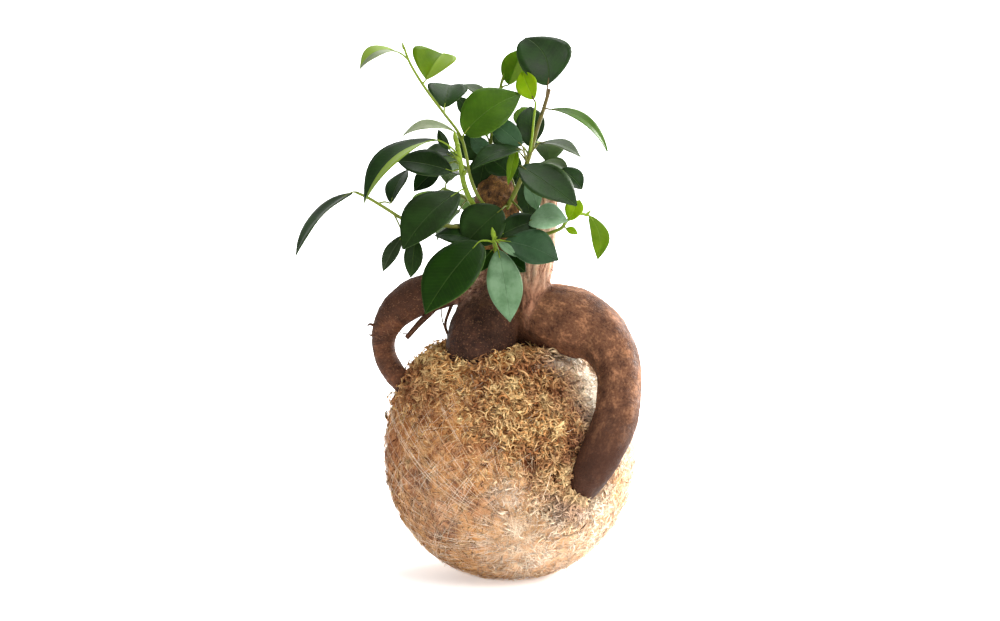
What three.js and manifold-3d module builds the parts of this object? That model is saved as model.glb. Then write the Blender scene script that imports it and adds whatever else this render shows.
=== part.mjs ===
// A kokedama: a ficus with thick bare roots that grip a ball of dried moss wound with thread.
// Millimetres, +Z up. The origin is the middle of the flat spot under the ball, and the side
// that shows the looping roots looks along -Y.
import * as THREE from "three";
import { mergeVertices } from "three/addons/utils/BufferGeometryUtils.js";
import Module from "manifold-3d";

const wasm = await Module();
wasm.setup();

// Driving dimensions of the ball
const BALL_RADIUS = 64.5;
const BALL_CENTRE_Z = 61.5;
const BALL_TOP_RISE = 57; // the top is pressed flat this far above the centre
const SHOULDER = { toward: [-0.72, -0.1, 0.69], rise: 4.5, spread: 0.42 }; // spreads are angles in radians
const LOOSE_MOSS = { toward: [0.55, -0.75, 0.35], rise: 2, spread: 0.5 };
const COVER_THICKNESS = 10;

// Driving dimensions of the thread
const THREAD_DIAMETER = 1.1;
const THREAD_LIFT = 0.95; // from the moss to the middle of the thread
const STAR_POINT = [9, -58, -28]; // where the turns meet, low on the front, from the ball's centre
const STAR_TURNS = [-50, -16, 20]; // degrees about the star point
const LOOSE_TURNS = [ // the turn's axis, from the ball's centre
  [-0.37, 0.64, 0.67],
  [-0.74, 0, 0.67],
];

// Driving dimensions of the leaves
const LEAF_THICKNESS = 0.8;
const LEAF_FULLNESS = 0.8; // below 1 makes a blade's outline rounder than a sine
const LEAF_END = 0.09; // half width of a blade's two ends, as a share of its widest
const STALK_RADIUS = 0.75;
const STALK_END = 0.12; // how far along the blade the stalk reaches, as a share of its length
const SIDE_STEM_RADII = [1, 0.8];

// Clearances
const GAP = 0.35; // between pieces that touch
const FINENESS = 0.1; // how far a face may move where slivers are cleared after a cut

// Numbers of faces
const BALL_FACES = [34, 18];
const CORE_FACES = [20, 12];
const THREAD_FACES = [3, 32];
const LEAF_STEPS = 5;
const STEM_SIDES = 5;

// Limbs of the woody piece: points down the middle of the limb, and its radius at each
const LIMBS = {
  trunk: {
    points: [
      [-4, 0, 126], [-5, 0, 138], [-6, 0, 153], [-8, 2, 173], [-7, 0, 192], [-6, 0, 202], [-6, 0, 207],
    ],
    radii: [12, 16, 13.5, 11.5, 11.5, 9.5, 4.5],
    faces: [12, 10],
  },
  pale_column: {
    points: [
      [10, -20, 132], [11, -19, 144], [13, -13, 159], [17, -4, 174], [20, 4, 189], [20, 8, 198], [20, 9, 202],
    ],
    radii: [2.4, 5.6, 8.8, 7.2, 5.2, 4.6, 2.6],
    faces: [9, 9],
  },
  right_root: {
    points: [
      [4, 0, 140], [17, -8, 136], [33, -18, 133], [46, -28, 127], [54, -38, 113], [54, -46, 101],
      [52, -52, 89], [47, -58, 78], [41, -60, 67], [36, -56, 58], [32, -46, 49], [28, -36, 43],
    ],
    radii: [11, 16.5, 18, 14.5, 11.7, 10.9, 10.9, 10.6, 9.3, 6.9, 4.4, 2.5],
    faces: [12, 22],
  },
  left_root: {
    points: [
      [-8, 0, 152], [-23, -2, 151], [-38, -4, 148], [-51, -4, 143], [-61, -4, 134], [-65, -4, 123],
      [-64, -6, 114], [-58, -8, 104], [-51, -6, 96], [-43, -4, 88],
    ],
    radii: [10, 9.5, 10, 10, 8.2, 6.4, 6.2, 5.8, 5, 3.2],
    faces: [10, 17],
  },
  middle_root: {
    points: [
      [-6, -4, 147], [-11, -10, 138], [-14, -14, 128], [-16, -16, 116], [-17, -14, 104], [-16, -10, 92],
    ],
    radii: [12, 15, 17.5, 17, 12, 5],
    faces: [12, 8],
  },
  centre_root: {
    points: [[10, -8, 134], [12, -6, 124], [12, -4, 112], [11, -2, 98]],
    radii: [10, 9.5, 8, 4.5],
    faces: [8, 4],
  },
  back_root: {
    points: [[-5, 2, 142], [-3, 14, 134], [0, 24, 124], [2, 27, 112], [2, 26, 98]],
    radii: [12, 13, 12, 10, 5],
    faces: [10, 6],
  },
};

// A leaf on a shoot: how far up the stem its stalk leaves, where the blade starts and ends, its width,
// the way its upper face looks, how far the midrib arches, the fold along it in degrees, its sideways
// sweep, and where it is widest
function leaf(at, base, tip, width, faces, arch = 3, fold = 10, sweep = 0, widest = 0.5) {
  return { at, base, tip, width, faces, arch, fold, sweep, widest };
}

// Leafy shoots: points up the stem from its foot inside the wood, its radius at foot and tip, and leaves
const SHOOTS = {
  shoot_upper_left: {
    stem: [
      [-7, -3, 184], [-11, -11, 190], [-16, -14, 197], [-20, -16, 207], [-22, -17, 218], [-25, -18, 228],
      [-33, -18, 239], [-42, -18, 251], [-50, -18, 264], [-53, -18, 272],
    ],
    radii: [1.4, 0.7],
    leaves: [
      leaf(0.92, [-57, -20, 270], [-75, -26, 261], 11, [-0.5, -0.6, 0.6], 5, 12),
      leaf(0.79, [-42, -17, 256], [-34, -7, 269], 26, [-0.3, -0.9, 0.3], 2, 22, 0, 0.6),
      leaf(0.66, [-33, -14, 242], [-30, 12, 250], 20, [0, -0.3, 0.95], 2, 20),
      leaf(0.52, [-28, -19, 230], [-54, -24, 228], 9, [0, -0.45, 0.9], 5, 10),
      leaf(0.54, [-23, -21, 229], [5, -14, 249], 20, [-0.3, -0.85, 0.35], 3, 8, -1.5, 0.45),
    ],
  },
  shoot_bud: {
    stem: [[-11, -3, 187], [-18, -12, 192], [-23, -18, 203], [-25, -21, 216], [-27, -21, 226]],
    radii: [2, 1.2],
    leaves: [
      leaf(0.8, [-36, -26, 226], [-72, -46, 196], 19, [-0.6, -0.5, 0.6], 9, 12),
      leaf(0.72, [-30, -21, 221], [-36, -18, 231], 6, [-0.6, -0.8, 0.1], 1, 20),
      leaf(0.66, [-29, -17, 210], [-57, -12, 215], 17, [0, -0.75, 0.65], 2, 8),
      leaf(0.45, [-26, -25, 199], [-53, -43, 174], 24, [-0.35, -0.75, 0.55], 4, 8),
    ],
  },
  shoot_middle: {
    stem: [[-7, 3, 196], [-9, 4, 206], [-10, 8, 219], [-8, 8, 235], [-4, 6, 255]],
    radii: [1.5, 0.8],
    leaves: [
      leaf(0.75, [-10, 10, 244], [-25, 14, 253], 9, [-0.2, -0.3, 0.95], 2, 8),
      leaf(0.55, [-17, 5, 237], [-27, 1, 247], 9, [-0.5, -0.8, 0.2], 1, 10),
      leaf(0.66, [-11, 2, 239], [-12, -5, 227], 10, [-0.2, -0.95, 0.2], 1, 12),
      leaf(0.93, [0, 5, 253], [8, 8, 267], 11, [-0.5, -0.85, 0.1], 1, 18),
      leaf(0.4, [-11, 1, 218], [-20, -7, 228], 9, [-0.4, -0.8, 0.4], 2, 10),
      leaf(0.4, [-6, 4, 219], [2, 3, 231], 14, [0.1, -0.9, 0.3], 2, 10),
    ],
  },
  shoot_upper_right: {
    stem: [
      [-4, -1, 186], [-1, -10, 192], [3, -13, 200], [7, -15, 209], [10, -15, 218], [14, -13, 232],
      [17, -12, 241], [20, -10, 251],
    ],
    radii: [1.9, 1.2],
    side_stem: [[10, -15, 219], [11, -17, 226], [12, -17, 236], [13, -16, 244]],
    leaves: [
      leaf(0.92, [19, -12, 253], [6, -4, 275], 26, [0.1, -0.95, 0.2], 2, 6, 7, 0.52),
      leaf(0.86, [20, -13, 241], [49, -20, 220], 11, [0.4, -0.2, 0.9], 5, 10),
      leaf(0.5, [10, -8, 222], [11, 5, 242], 15, [0, -0.9, 0.4], 2, 10),
      leaf(0.52, [6, -19, 223], [-10, -16, 236], 10, [-0.2, -0.9, 0.3], 2, 10),
      leaf(0.56, [15, -15, 224], [36, -20, 217], 13, [0.2, -0.3, 0.9], 3, 10),
      leaf(0.5, [6, -22, 221], [-19, -34, 212], 14, [-0.2, -0.55, 0.8], 4, 10),
      leaf(0.42, [5, -21, 213], [32, -36, 195], 22, [0.3, -0.6, 0.7], 3, 8),
      leaf(0.38, [26, -3, 210], [37, -5, 200], 12, [0.4, -0.8, 0.5], 2, 10),
      leaf(0.35, [10, -13, 206], [14, -15, 192], 8, [0.1, -0.95, 0.2], 1, 10),
      leaf(0.2, [9, -22, 185], [28, -30, 186], 15, [0, -0.65, 0.75], 3, 10),
      leaf(0.14, [-5, -17, 190], [-22, -28, 176], 18, [-0.3, -0.7, 0.6], 3, 10),
      leaf(0.5, [3, -18, 220], [0, -17, 204], 3.5, [0, -0.95, 0.3], 1, 20),
    ],
    side_leaves: [
      leaf(0.98, [12, -16, 246], [6, -11, 260], 12, [-0.3, -0.9, 0.1], 1, 18),
    ],
  },
  shoot_far_left: {
    stem: [
      [-8, -1, 180], [-16, -10, 181], [-25, -18, 182], [-35, -20, 183], [-51, -21, 185], [-63, -22, 192],
      [-71, -24, 197], [-77, -26, 200],
    ],
    radii: [1.3, 0.7],
    leaves: [
      leaf(0.99, [-79, -26, 200], [-107, -32, 169], 15, [-0.7, -0.35, 0.6], 5, 10),
      leaf(0.78, [-60, -17, 194], [-52, -3, 210], 13, [-0.6, -0.7, 0.3], 2, 10),
      leaf(0.66, [-54, -23, 178], [-64, -26, 160], 8, [-0.4, -0.9, 0], 2, 12),
      leaf(0.52, [-48, -21, 177], [-50, -26, 157], 10, [0.2, -0.95, 0.2], 2, 10),
    ],
  },
  shoot_front: {
    stem: [[-6, -5, 161], [-6, -14, 164], [-7, -24, 171], [-8, -30, 176], [-8, -31, 182]],
    radii: [1.4, 0.9],
    leaves: [
      leaf(0.72, [-15, -33, 175], [-42, -52, 143], 27, [-0.35, -0.8, 0.45], 3, 8),
      leaf(0.68, [-6, -35, 171], [0, -45, 137], 16, [0.1, -0.95, 0.3], 3, 8),
      leaf(0.75, [-2, -31, 174], [23, -38, 167], 18, [0.1, -0.75, 0.6], 3, 8),
      leaf(0.78, [-6, -35, 176], [3, -39, 171], 5, [0.2, -0.9, 0.4], 1, 12),
      leaf(0.5, [-9, -25, 171], [-17, -29, 160], 10, [-0.3, -0.9, 0.3], 1, 10),
      leaf(0.8, [-4, -28, 178], [10, -21, 183], 11, [0, -0.6, 0.8], 2, 10),
      leaf(0.7, [-14, -22, 174], [-36, -19, 176], 10, [0, -0.35, 0.9], 2, 10),
    ],
  },
  shoot_lower_right: {
    stem: [
      [17, -3, 174], [16, -12, 177], [20, -20, 179], [26, -24, 182], [29, -25, 186], [36, -23, 189],
      [39, -23, 188],
    ],
    radii: [1.1, 0.7],
    leaves: [
      leaf(0.72, [30, -27, 186], [35, -22, 196], 10, [-0.3, -0.9, 0.2], 1, 14),
      leaf(0.99, [40, -23, 187], [44, -27, 167], 9, [0.3, -0.9, 0.2], 1, 12, -3),
      leaf(0.55, [28, -26, 182], [34, -28, 179], 4, [0.2, -0.9, 0.3], 1, 12),
    ],
  },
  shoot_left_back: {
    stem: [[-9, 2, 192], [-15, 5, 202], [-22, 4, 210], [-28, 2, 214]],
    radii: [1.3, 0.8],
    leaves: [
      leaf(0.97, [-36, 1, 210], [-49, -5, 199], 11, [-0.3, -0.9, 0.3], 2, 10),
      leaf(0.75, [-30, -1, 217], [-46, 4, 216], 12, [0, -0.5, 0.85], 3, 10),
      leaf(0.6, [-24, 11, 206], [-33, 28, 201], 15, [-0.2, 0.3, 0.95], 4, 10),
    ],
  },
  shoot_back_left: {
    stem: [[-8, 4, 182], [-14, 14, 188], [-22, 24, 193], [-30, 31, 196], [-35, 35, 198]],
    radii: [1.5, 0.8],
    leaves: [
      leaf(0.98, [-37, 38, 196], [-46, 56, 182], 18, [-0.4, 0.5, 0.7], 5, 10),
      leaf(0.8, [-35, 25, 191], [-48, 14, 182], 14, [-0.6, 0.2, 0.8], 4, 10),
      leaf(0.7, [-22, 35, 193], [-18, 56, 180], 20, [0.1, 0.6, 0.8], 4, 10),
      leaf(0.5, [-26, 18, 188], [-38, 16, 172], 14, [-0.7, 0.5, 0.5], 3, 10),
      leaf(0.97, [-33, 40, 203], [-26, 52, 216], 16, [-0.1, 0.8, 0.5], 2, 14),
    ],
  },
  shoot_back_right: {
    stem: [[-4, 4, 188], [2, 15, 195], [7, 24, 206], [10, 29, 216], [12, 32, 226]],
    radii: [1.5, 0.8],
    leaves: [
      leaf(0.98, [11, 34, 228], [6, 28, 241], 15, [0.2, 0.9, 0.3], 2, 12),
      leaf(0.97, [15, 38, 222], [21, 55, 210], 20, [0.3, 0.4, 0.9], 5, 10),
      leaf(0.75, [6, 36, 221], [-6, 54, 222], 20, [-0.2, 0.4, 0.9], 5, 10),
      leaf(0.6, [16, 24, 212], [32, 22, 204], 16, [0.5, 0.3, 0.8], 4, 10),
      leaf(0.5, [7, 32, 203], [12, 52, 192], 22, [0.2, 0.6, 0.8], 5, 10),
      leaf(0.35, [-4, 24, 200], [-14, 40, 204], 16, [-0.2, 0.5, 0.85], 4, 10),
    ],
  },
  shoot_back_low: {
    stem: [[-5, 4, 164], [-4, 16, 168], [0, 27, 173], [2, 35, 179]],
    radii: [1.4, 0.8],
    leaves: [
      leaf(0.98, [3, 40, 180], [6, 60, 172], 20, [0.1, 0.5, 0.85], 5, 10),
      leaf(0.8, [7, 33, 174], [19, 42, 160], 16, [0.6, 0.5, 0.6], 4, 10),
      leaf(0.75, [-8, 32, 174], [-24, 42, 160], 20, [-0.5, 0.6, 0.6], 5, 10),
      leaf(0.5, [-4, 30, 165], [-6, 44, 148], 16, [0, 0.85, 0.5], 3, 10),
    ],
  },
};

// Finishes
const FINISH = {
  moss: { color: 0xb8915a, roughness: 0.95 },
  soil: { color: 0x3a2a1c, roughness: 1 },
  thread: { color: 0xe6d6c2, roughness: 0.5 },
  bark: { color: 0x5f4333, roughness: 0.75 },
  leaf: { color: 0x24471c, roughness: 0.4 },
  young_leaf: { color: 0x6f9a1c, roughness: 0.4 },
};
const YOUNG_SHOOTS = ["shoot_lower_right"];

const vector = (xyz) => new THREE.Vector3(...xyz);

// A closed geometry as a solid that can be joined and cut
function solid(geometry) {
  const bare = geometry.clone();
  bare.deleteAttribute("normal");
  bare.deleteAttribute("uv");
  const merged = mergeVertices(bare);
  const mesh = new wasm.Mesh({
    numProp: 3,
    vertProperties: new Float32Array(merged.attributes.position.array),
    triVerts: new Uint32Array(merged.index.array),
  });
  return new wasm.Manifold(mesh);
}

// The named mesh of a solid
function meshOf(name, body, finish) {
  const pieces = body.decompose();
  const whole = pieces.reduce((most, piece) => (piece.volume() > most.volume() ? piece : most));
  const { vertProperties, triVerts } = whole.simplify(FINENESS).getMesh();
  const geometry = new THREE.BufferGeometry();
  geometry.setAttribute("position", new THREE.BufferAttribute(vertProperties, 3));
  geometry.setIndex(new THREE.BufferAttribute(triVerts, 1));
  geometry.computeVertexNormals();
  const mesh = new THREE.Mesh(geometry, new THREE.MeshStandardMaterial({ metalness: 0, ...finish }));
  mesh.name = name;
  return mesh;
}

// Several solids as one
const joined = (bodies) => bodies.reduce((whole, body) => whole.add(body));

// Moves each corner of a geometry to the place that a function gives
function reshape(geometry, place) {
  const corners = geometry.attributes.position;
  const corner = new THREE.Vector3();
  for (let i = 0; i < corners.count; i += 1) {
    place(corner.fromBufferAttribute(corners, i));
    corners.setXYZ(i, corner.x, corner.y, corner.z);
  }
  return geometry;
}

// A round limb of changing radius along a smooth line; grow makes it that much larger all over
function limb(points, radii, sides, steps, grow = 0) {
  const line = new THREE.CatmullRomCurve3(points.map(vector), false, "centripetal");
  const girth = new THREE.CatmullRomCurve3(radii.map((radius) => new THREE.Vector3(radius, 0, 0)));
  const { tangents, normals, binormals } = line.computeFrenetFrames(steps, false);
  const tube = new THREE.CylinderGeometry(1, 1, 1, sides, steps);
  return reshape(tube, (corner) => {
    const along = corner.y + 0.5;
    const step = Math.round(along * steps);
    const radius = girth.getPoint(line.getUtoTmapping(along)).x + grow;
    const { x, z } = corner;
    corner.copy(line.getPointAt(along));
    corner.addScaledVector(binormals[step], x * radius);
    corner.addScaledVector(normals[step], z * radius);
    if (step === 0) corner.addScaledVector(tangents[0], -grow);
    if (step === steps) corner.addScaledVector(tangents[steps], grow);
  });
}

// How far the moss reaches from the ball's centre in a direction
function ballReach(direction) {
  let reach = BALL_RADIUS;
  for (const { toward, rise, spread } of [SHOULDER, LOOSE_MOSS]) {
    reach += rise * Math.exp(-((direction.angleTo(vector(toward)) / spread) ** 2));
  }
  const flat = direction.z < 0 ? BALL_CENTRE_Z : BALL_TOP_RISE;
  const steepness = Math.abs(direction.z);
  return reach * steepness > flat ? flat / steepness : reach;
}

// A ball that keeps a distance inside or outside the moss's own surface
function ball(offset, [around, down]) {
  const sphere = new THREE.SphereGeometry(1, around, down).rotateX(Math.PI / 2);
  return reshape(sphere, (corner) => {
    corner.normalize();
    corner.multiplyScalar(ballReach(corner) + offset);
    corner.z += BALL_CENTRE_Z;
  });
}

// A turn of thread round the ball, in the plane square to an axis through the ball's centre
function threadTurn(axis) {
  const across = new THREE.Vector3(axis.y, -axis.x, 0).normalize();
  const up = new THREE.Vector3().crossVectors(axis, across);
  const [sides, steps] = THREAD_FACES;
  const ring = new THREE.TorusGeometry(1, THREAD_DIAMETER / 2, sides, steps);
  const outward = new THREE.Vector3();
  return reshape(ring, (corner) => {
    const angle = Math.atan2(corner.y, corner.x);
    const fromMiddle = Math.hypot(corner.x, corner.y) - 1;
    const sideways = corner.z;
    outward.copy(across).multiplyScalar(Math.cos(angle)).addScaledVector(up, Math.sin(angle));
    corner.copy(outward).multiplyScalar(ballReach(outward) + THREAD_LIFT + fromMiddle);
    corner.addScaledVector(axis, sideways);
    corner.z += BALL_CENTRE_Z;
  });
}

// The axes of all turns: those that meet at the star point, and the loose ones
function threadAxes() {
  const star = vector(STAR_POINT).normalize();
  const level = new THREE.Vector3(-star.y, star.x, 0).normalize();
  const steep = new THREE.Vector3().crossVectors(star, level);
  const meeting = STAR_TURNS.map((degrees) => {
    return steep.clone().applyAxisAngle(star, THREE.MathUtils.degToRad(degrees));
  });
  return [...meeting, ...LOOSE_TURNS.map((axis) => vector(axis).normalize())];
}

// A leaf's midrib: an arched line from base to tip, with the blade's sideways and upward directions
function midrib({ base, tip, faces, arch, sweep }) {
  const start = vector(base);
  const chord = vector(tip).sub(start);
  const side = new THREE.Vector3().crossVectors(chord, vector(faces)).normalize();
  const up = new THREE.Vector3().crossVectors(side, chord).normalize();
  const point = (t, target = new THREE.Vector3()) => {
    const bow = 4 * t * (1 - t);
    return target.copy(start).addScaledVector(chord, t).addScaledVector(up, arch * bow)
      .addScaledVector(side, sweep * bow);
  };
  const lift = (t) => {
    const tangent = chord.clone().addScaledVector(up, 4 * arch * (1 - 2 * t));
    return new THREE.Vector3().crossVectors(side, tangent).normalize();
  };
  return { point, side, lift };
}

// A leaf blade: a thin sheet, arched along its midrib and folded a little across it
function blade(plan) {
  const { point, side, lift } = midrib(plan);
  const bend = THREE.MathUtils.degToRad(plan.fold);
  const skew = Math.log(0.5) / Math.log(plan.widest);
  const sheet = new THREE.BoxGeometry(2, 1, LEAF_THICKNESS, 2, LEAF_STEPS, 1);
  return reshape(sheet, (corner) => {
    const { x, z } = corner;
    const t = corner.y + 0.5;
    const half = (plan.width / 2) * Math.max(Math.sin(Math.PI * t ** skew) ** LEAF_FULLNESS, LEAF_END);
    point(t, corner).addScaledVector(side, x * half * Math.cos(bend));
    corner.addScaledVector(lift(t), Math.abs(x) * half * Math.sin(bend) + z);
  });
}

// A leaf's stalk, from the middle of the stem to a little way inside the blade
function stalk(stem, plan) {
  const from = stem.getPoint(plan.at);
  const { point } = midrib(plan);
  const points = [from, point(0), point(STALK_END)];
  return limb(points.map((one) => one.toArray()), points.map(() => STALK_RADIUS), 3, 2);
}

// A stem on its own, grown by a clearance where the wood is cut for it
function stemTube(points, [foot, end], grow = 0) {
  const radii = points.map((_, i) => foot + ((end - foot) * i) / (points.length - 1));
  return limb(points, radii, STEM_SIDES, points.length, grow);
}

// A leafy shoot: its stems, stalks and blades joined in one solid
function shoot({ stem, radii, leaves, side_stem: sideStem, side_leaves: sideLeaves = [] }) {
  const pieces = [stemTube(stem, radii)];
  if (sideStem) pieces.push(stemTube(sideStem, SIDE_STEM_RADII));
  for (const [points, set] of [[stem, leaves], [sideStem, sideLeaves]]) {
    for (const one of set) {
      const line = new THREE.CatmullRomCurve3(points.map(vector), false, "centripetal");
      pieces.push(stalk(line, one), blade(one));
    }
  }
  return joined(pieces.map(solid));
}

// The trunk and roots as one solid, grown by a clearance where other pieces are cut for it
const wood = (grow = 0) => {
  const limbs = Object.values(LIMBS);
  return joined(limbs.map(({ points, radii, faces }) => solid(limb(points, radii, ...faces, grow))));
};

const grownWood = wood(GAP);
const stemSpaces = Object.values(SHOOTS).map(({ stem, radii }) => solid(stemTube(stem, radii, GAP)));
const grownStems = joined(stemSpaces);
const mossInside = solid(ball(-COVER_THICKNESS, CORE_FACES));
const mossCover = solid(ball(0, BALL_FACES)).subtract(mossInside).subtract(grownWood);
const soilCore = solid(ball(-COVER_THICKNESS - GAP, CORE_FACES)).subtract(grownWood);
const bindingThread = joined(threadAxes().map((axis) => solid(threadTurn(axis))));
const trunkAndRoots = wood().subtract(grownStems);

const plant = new THREE.Group();
plant.add(meshOf("moss_cover", mossCover, FINISH.moss));
plant.add(meshOf("soil_core", soilCore, FINISH.soil));
plant.add(meshOf("binding_thread", bindingThread, FINISH.thread));
plant.add(meshOf("trunk_and_roots", trunkAndRoots, FINISH.bark));
for (const [name, plan] of Object.entries(SHOOTS)) {
  const finish = YOUNG_SHOOTS.includes(name) ? FINISH.young_leaf : FINISH.leaf;
  plant.add(meshOf(name, shoot(plan), finish));
}

export default plant;
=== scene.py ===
"""A kokedama: a ficus with thick bare roots that grip a ball of dried moss wound with fine thread.

The tables give millimetres, in the same frame as the solids: +Z up, the flat spot under the ball at
the origin, and the looping roots on the -Y side. Lengths turn into metres once, through MM.
"""

import logging
import math
import random
from collections.abc import Iterator, Sequence
from contextlib import contextmanager
from dataclasses import dataclass, field
from enum import Enum

import bmesh
import bpy
import numpy as np
from mathutils import Matrix, Vector, noise


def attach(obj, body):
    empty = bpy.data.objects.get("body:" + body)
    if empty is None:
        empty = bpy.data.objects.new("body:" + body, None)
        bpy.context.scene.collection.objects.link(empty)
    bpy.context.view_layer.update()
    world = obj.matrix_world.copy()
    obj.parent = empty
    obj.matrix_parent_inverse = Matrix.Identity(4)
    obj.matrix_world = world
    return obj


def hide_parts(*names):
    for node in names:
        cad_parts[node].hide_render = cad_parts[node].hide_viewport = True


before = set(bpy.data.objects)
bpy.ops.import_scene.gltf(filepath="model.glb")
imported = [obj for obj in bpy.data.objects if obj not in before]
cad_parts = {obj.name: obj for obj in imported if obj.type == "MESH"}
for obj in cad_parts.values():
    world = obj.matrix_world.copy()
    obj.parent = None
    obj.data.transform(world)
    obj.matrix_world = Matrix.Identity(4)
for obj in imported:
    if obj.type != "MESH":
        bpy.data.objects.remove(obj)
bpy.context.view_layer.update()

LOG = logging.getLogger("kokedama")
MM = 0.001
WELD = 1e-6
CLOUDY = (0.35, 0.65)  # where nearly all of a noise lies
BODY = "root"

Colour = tuple[float, float, float, float]
Socket = bpy.types.NodeSocket
Tree = bpy.types.NodeTree
Node = bpy.types.Node
Material = bpy.types.Material
Mesh = bpy.types.Mesh
Thing = bpy.types.Object
Rows = np.ndarray


def place(xyz: Sequence[float]) -> Vector:
    """A point given in millimetres, as a vector in metres."""
    return Vector(xyz) * MM


def paint(red: int, green: int, blue: int) -> Colour:
    """A colour given as it is seen on a screen, 0 to 255, as the linear values that a shader takes."""
    seen = (red / 255, green / 255, blue / 255)
    return (*(v / 12.92 if v <= 0.04045 else ((v + 0.055) / 1.055) ** 2.4 for v in seen), 1.0)


def dim(colour: Colour, share: float) -> Colour:
    """A darker version of a colour that a shader takes."""
    return (*(value * share for value in colour[:3]), 1.0)


def unit_rows(rows: Rows) -> Rows:
    """Each row of an array as a direction of length 1."""
    return rows / np.linalg.norm(rows, axis=1)[:, None]


def smooth_line(points: Sequence[Vector], per_span: int, pull: float = 0.5) -> list[Vector]:
    """A smooth line through points, which bends only as much as they ask.

    Args:
        points: What the line passes through.
        per_span: Steps between two neighbouring points.
        pull: 0.5 spaces the bends by distance, 0 spaces them evenly.

    Returns:
        The line's points, first and last included.
    """
    run = [points[0] * 2 - points[1], *points, points[-1] * 2 - points[-2]]
    line = []
    for before, start, end, after in zip(run, run[1:], run[2:], run[3:]):
        pairs = ((before, start), (start, end), (end, after))
        first, middle, last = (max((b - a).length, 1e-9) ** pull for a, b in pairs)
        leaving = (start - before) / first - (end - before) / (first + middle) + (end - start) / middle
        arriving = (end - start) / middle - (after - start) / (middle + last) + (after - end) / last
        for step in range(per_span):
            t = step / per_span
            line.append(
                start * (2 * t**3 - 3 * t**2 + 1)
                + leaving * middle * (t**3 - 2 * t**2 + t)
                + end * (3 * t**2 - 2 * t**3)
                + arriving * middle * (t**3 - t**2)
            )
    return [*line, points[-1].copy()]


def smooth_values(values: Sequence[float], per_span: int) -> list[float]:
    """Numbers between the given ones that match the points of smooth_line()."""
    return [point.x for point in smooth_line([Vector((v, 0, 0)) for v in values], per_span, 0)]


@dataclass
class Rod:
    """A round rod of changing radius."""

    line: Sequence[Vector]  # points down its middle, in metres
    radii: Sequence[float]  # its radius at each point, in metres
    closed: bool = False  # true for a ring, whose last point joins its first

    @classmethod
    def through(cls, points: Sequence[Sequence[float]], radii: Sequence[float], per_span: int) -> "Rod":
        """A smooth rod through points in millimetres, with a radius at each point."""
        line = smooth_line([place(point) for point in points], per_span)
        return cls(line, [r * MM for r in smooth_values(radii, per_span)])


def add_object(name: str, data: bpy.types.ID | None) -> Thing:
    """A new object in the scene.

    Args:
        name: Its name.
        data: What it shows, if anything.

    Returns:
        The object.
    """
    made = bpy.data.objects.new(name, data)
    bpy.context.scene.collection.objects.link(made)
    return made


def finished_mesh(holder: Thing, name: str) -> Mesh:
    """The mesh that an object shows, with its modifiers worked out. The object itself goes.

    Args:
        holder: The object.
        name: The mesh's name.

    Returns:
        The mesh.
    """
    ready = holder.evaluated_get(bpy.context.evaluated_depsgraph_get())
    mesh = bpy.data.meshes.new_from_object(ready)
    bpy.data.objects.remove(holder)
    mesh.name = name
    return mesh


@contextmanager
def shaping(mesh: Mesh) -> Iterator[bmesh.types.BMesh]:
    """Opens a mesh for bmesh operators, and writes it back.

    Args:
        mesh: The mesh.

    Yields:
        The mesh's editable form.
    """
    form = bmesh.new()
    form.from_mesh(mesh)
    yield form
    form.to_mesh(mesh)
    form.free()


def section_of(sides: int) -> Thing:
    """A rod's section: an outline of radius 1 with even sides, for a curve to carry along.

    Args:
        sides: How many sides it has.

    Returns:
        The outline's object.
    """
    outline = bpy.data.curves.new("section", "CURVE")
    spline = outline.splines.new("POLY")
    spline.points.add(sides - 1)
    turns = [math.tau * side / sides for side in range(sides)]
    spline.points.foreach_set("co", [value for a in turns for value in (math.cos(a), math.sin(a), 0, 1)])
    spline.use_cyclic_u = True
    return bpy.data.objects.new("section", outline)


def rod_mesh(name: str, rods: Sequence[Rod], sides: int) -> Mesh:
    """One mesh of round rods with closed ends.

    Args:
        name: The mesh's name.
        rods: The rods.
        sides: Faces round each rod.

    Returns:
        The mesh.
    """
    section = section_of(sides)
    curve = bpy.data.curves.new(name, "CURVE")
    curve.dimensions = "3D"
    curve.bevel_mode = "OBJECT"
    curve.bevel_object = section
    curve.use_fill_caps = True
    for rod in rods:
        spline = curve.splines.new("POLY")
        spline.points.add(len(rod.line) - 1)
        spline.points.foreach_set("co", [value for point in rod.line for value in (*point, 1)])
        spline.points.foreach_set("radius", list(rod.radii))
        spline.use_cyclic_u = rod.closed
    mesh = finished_mesh(add_object(name, curve), name)
    bpy.data.objects.remove(section)
    with shaping(mesh) as form:
        bmesh.ops.remove_doubles(form, verts=form.verts, dist=WELD)
        bmesh.ops.recalc_face_normals(form, faces=form.faces)
    mesh.shade_smooth()
    return mesh


def piece(name: str, mesh: Mesh, slot: str, replaces: Sequence[str] = ()) -> None:
    """A finished piece of the plant, riding on its body.

    Args:
        name: The piece's name.
        mesh: Its mesh, in place.
        slot: Not used.
        replaces: The solids that it stands for.
    """
    made = add_object(name, mesh)
    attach(made, BODY)
    if replaces:
        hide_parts(*replaces)
    LOG.info("%s: %d faces", name, len(mesh.polygons))


def corners_of(mesh: Mesh) -> Rows:
    """A mesh's corners as an array with a row for each.

    Args:
        mesh: The mesh.

    Returns:
        The corners, in metres.
    """
    flat = np.empty(len(mesh.vertices) * 3)
    mesh.vertices.foreach_get("co", flat)
    return flat.reshape(-1, 3)


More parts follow.
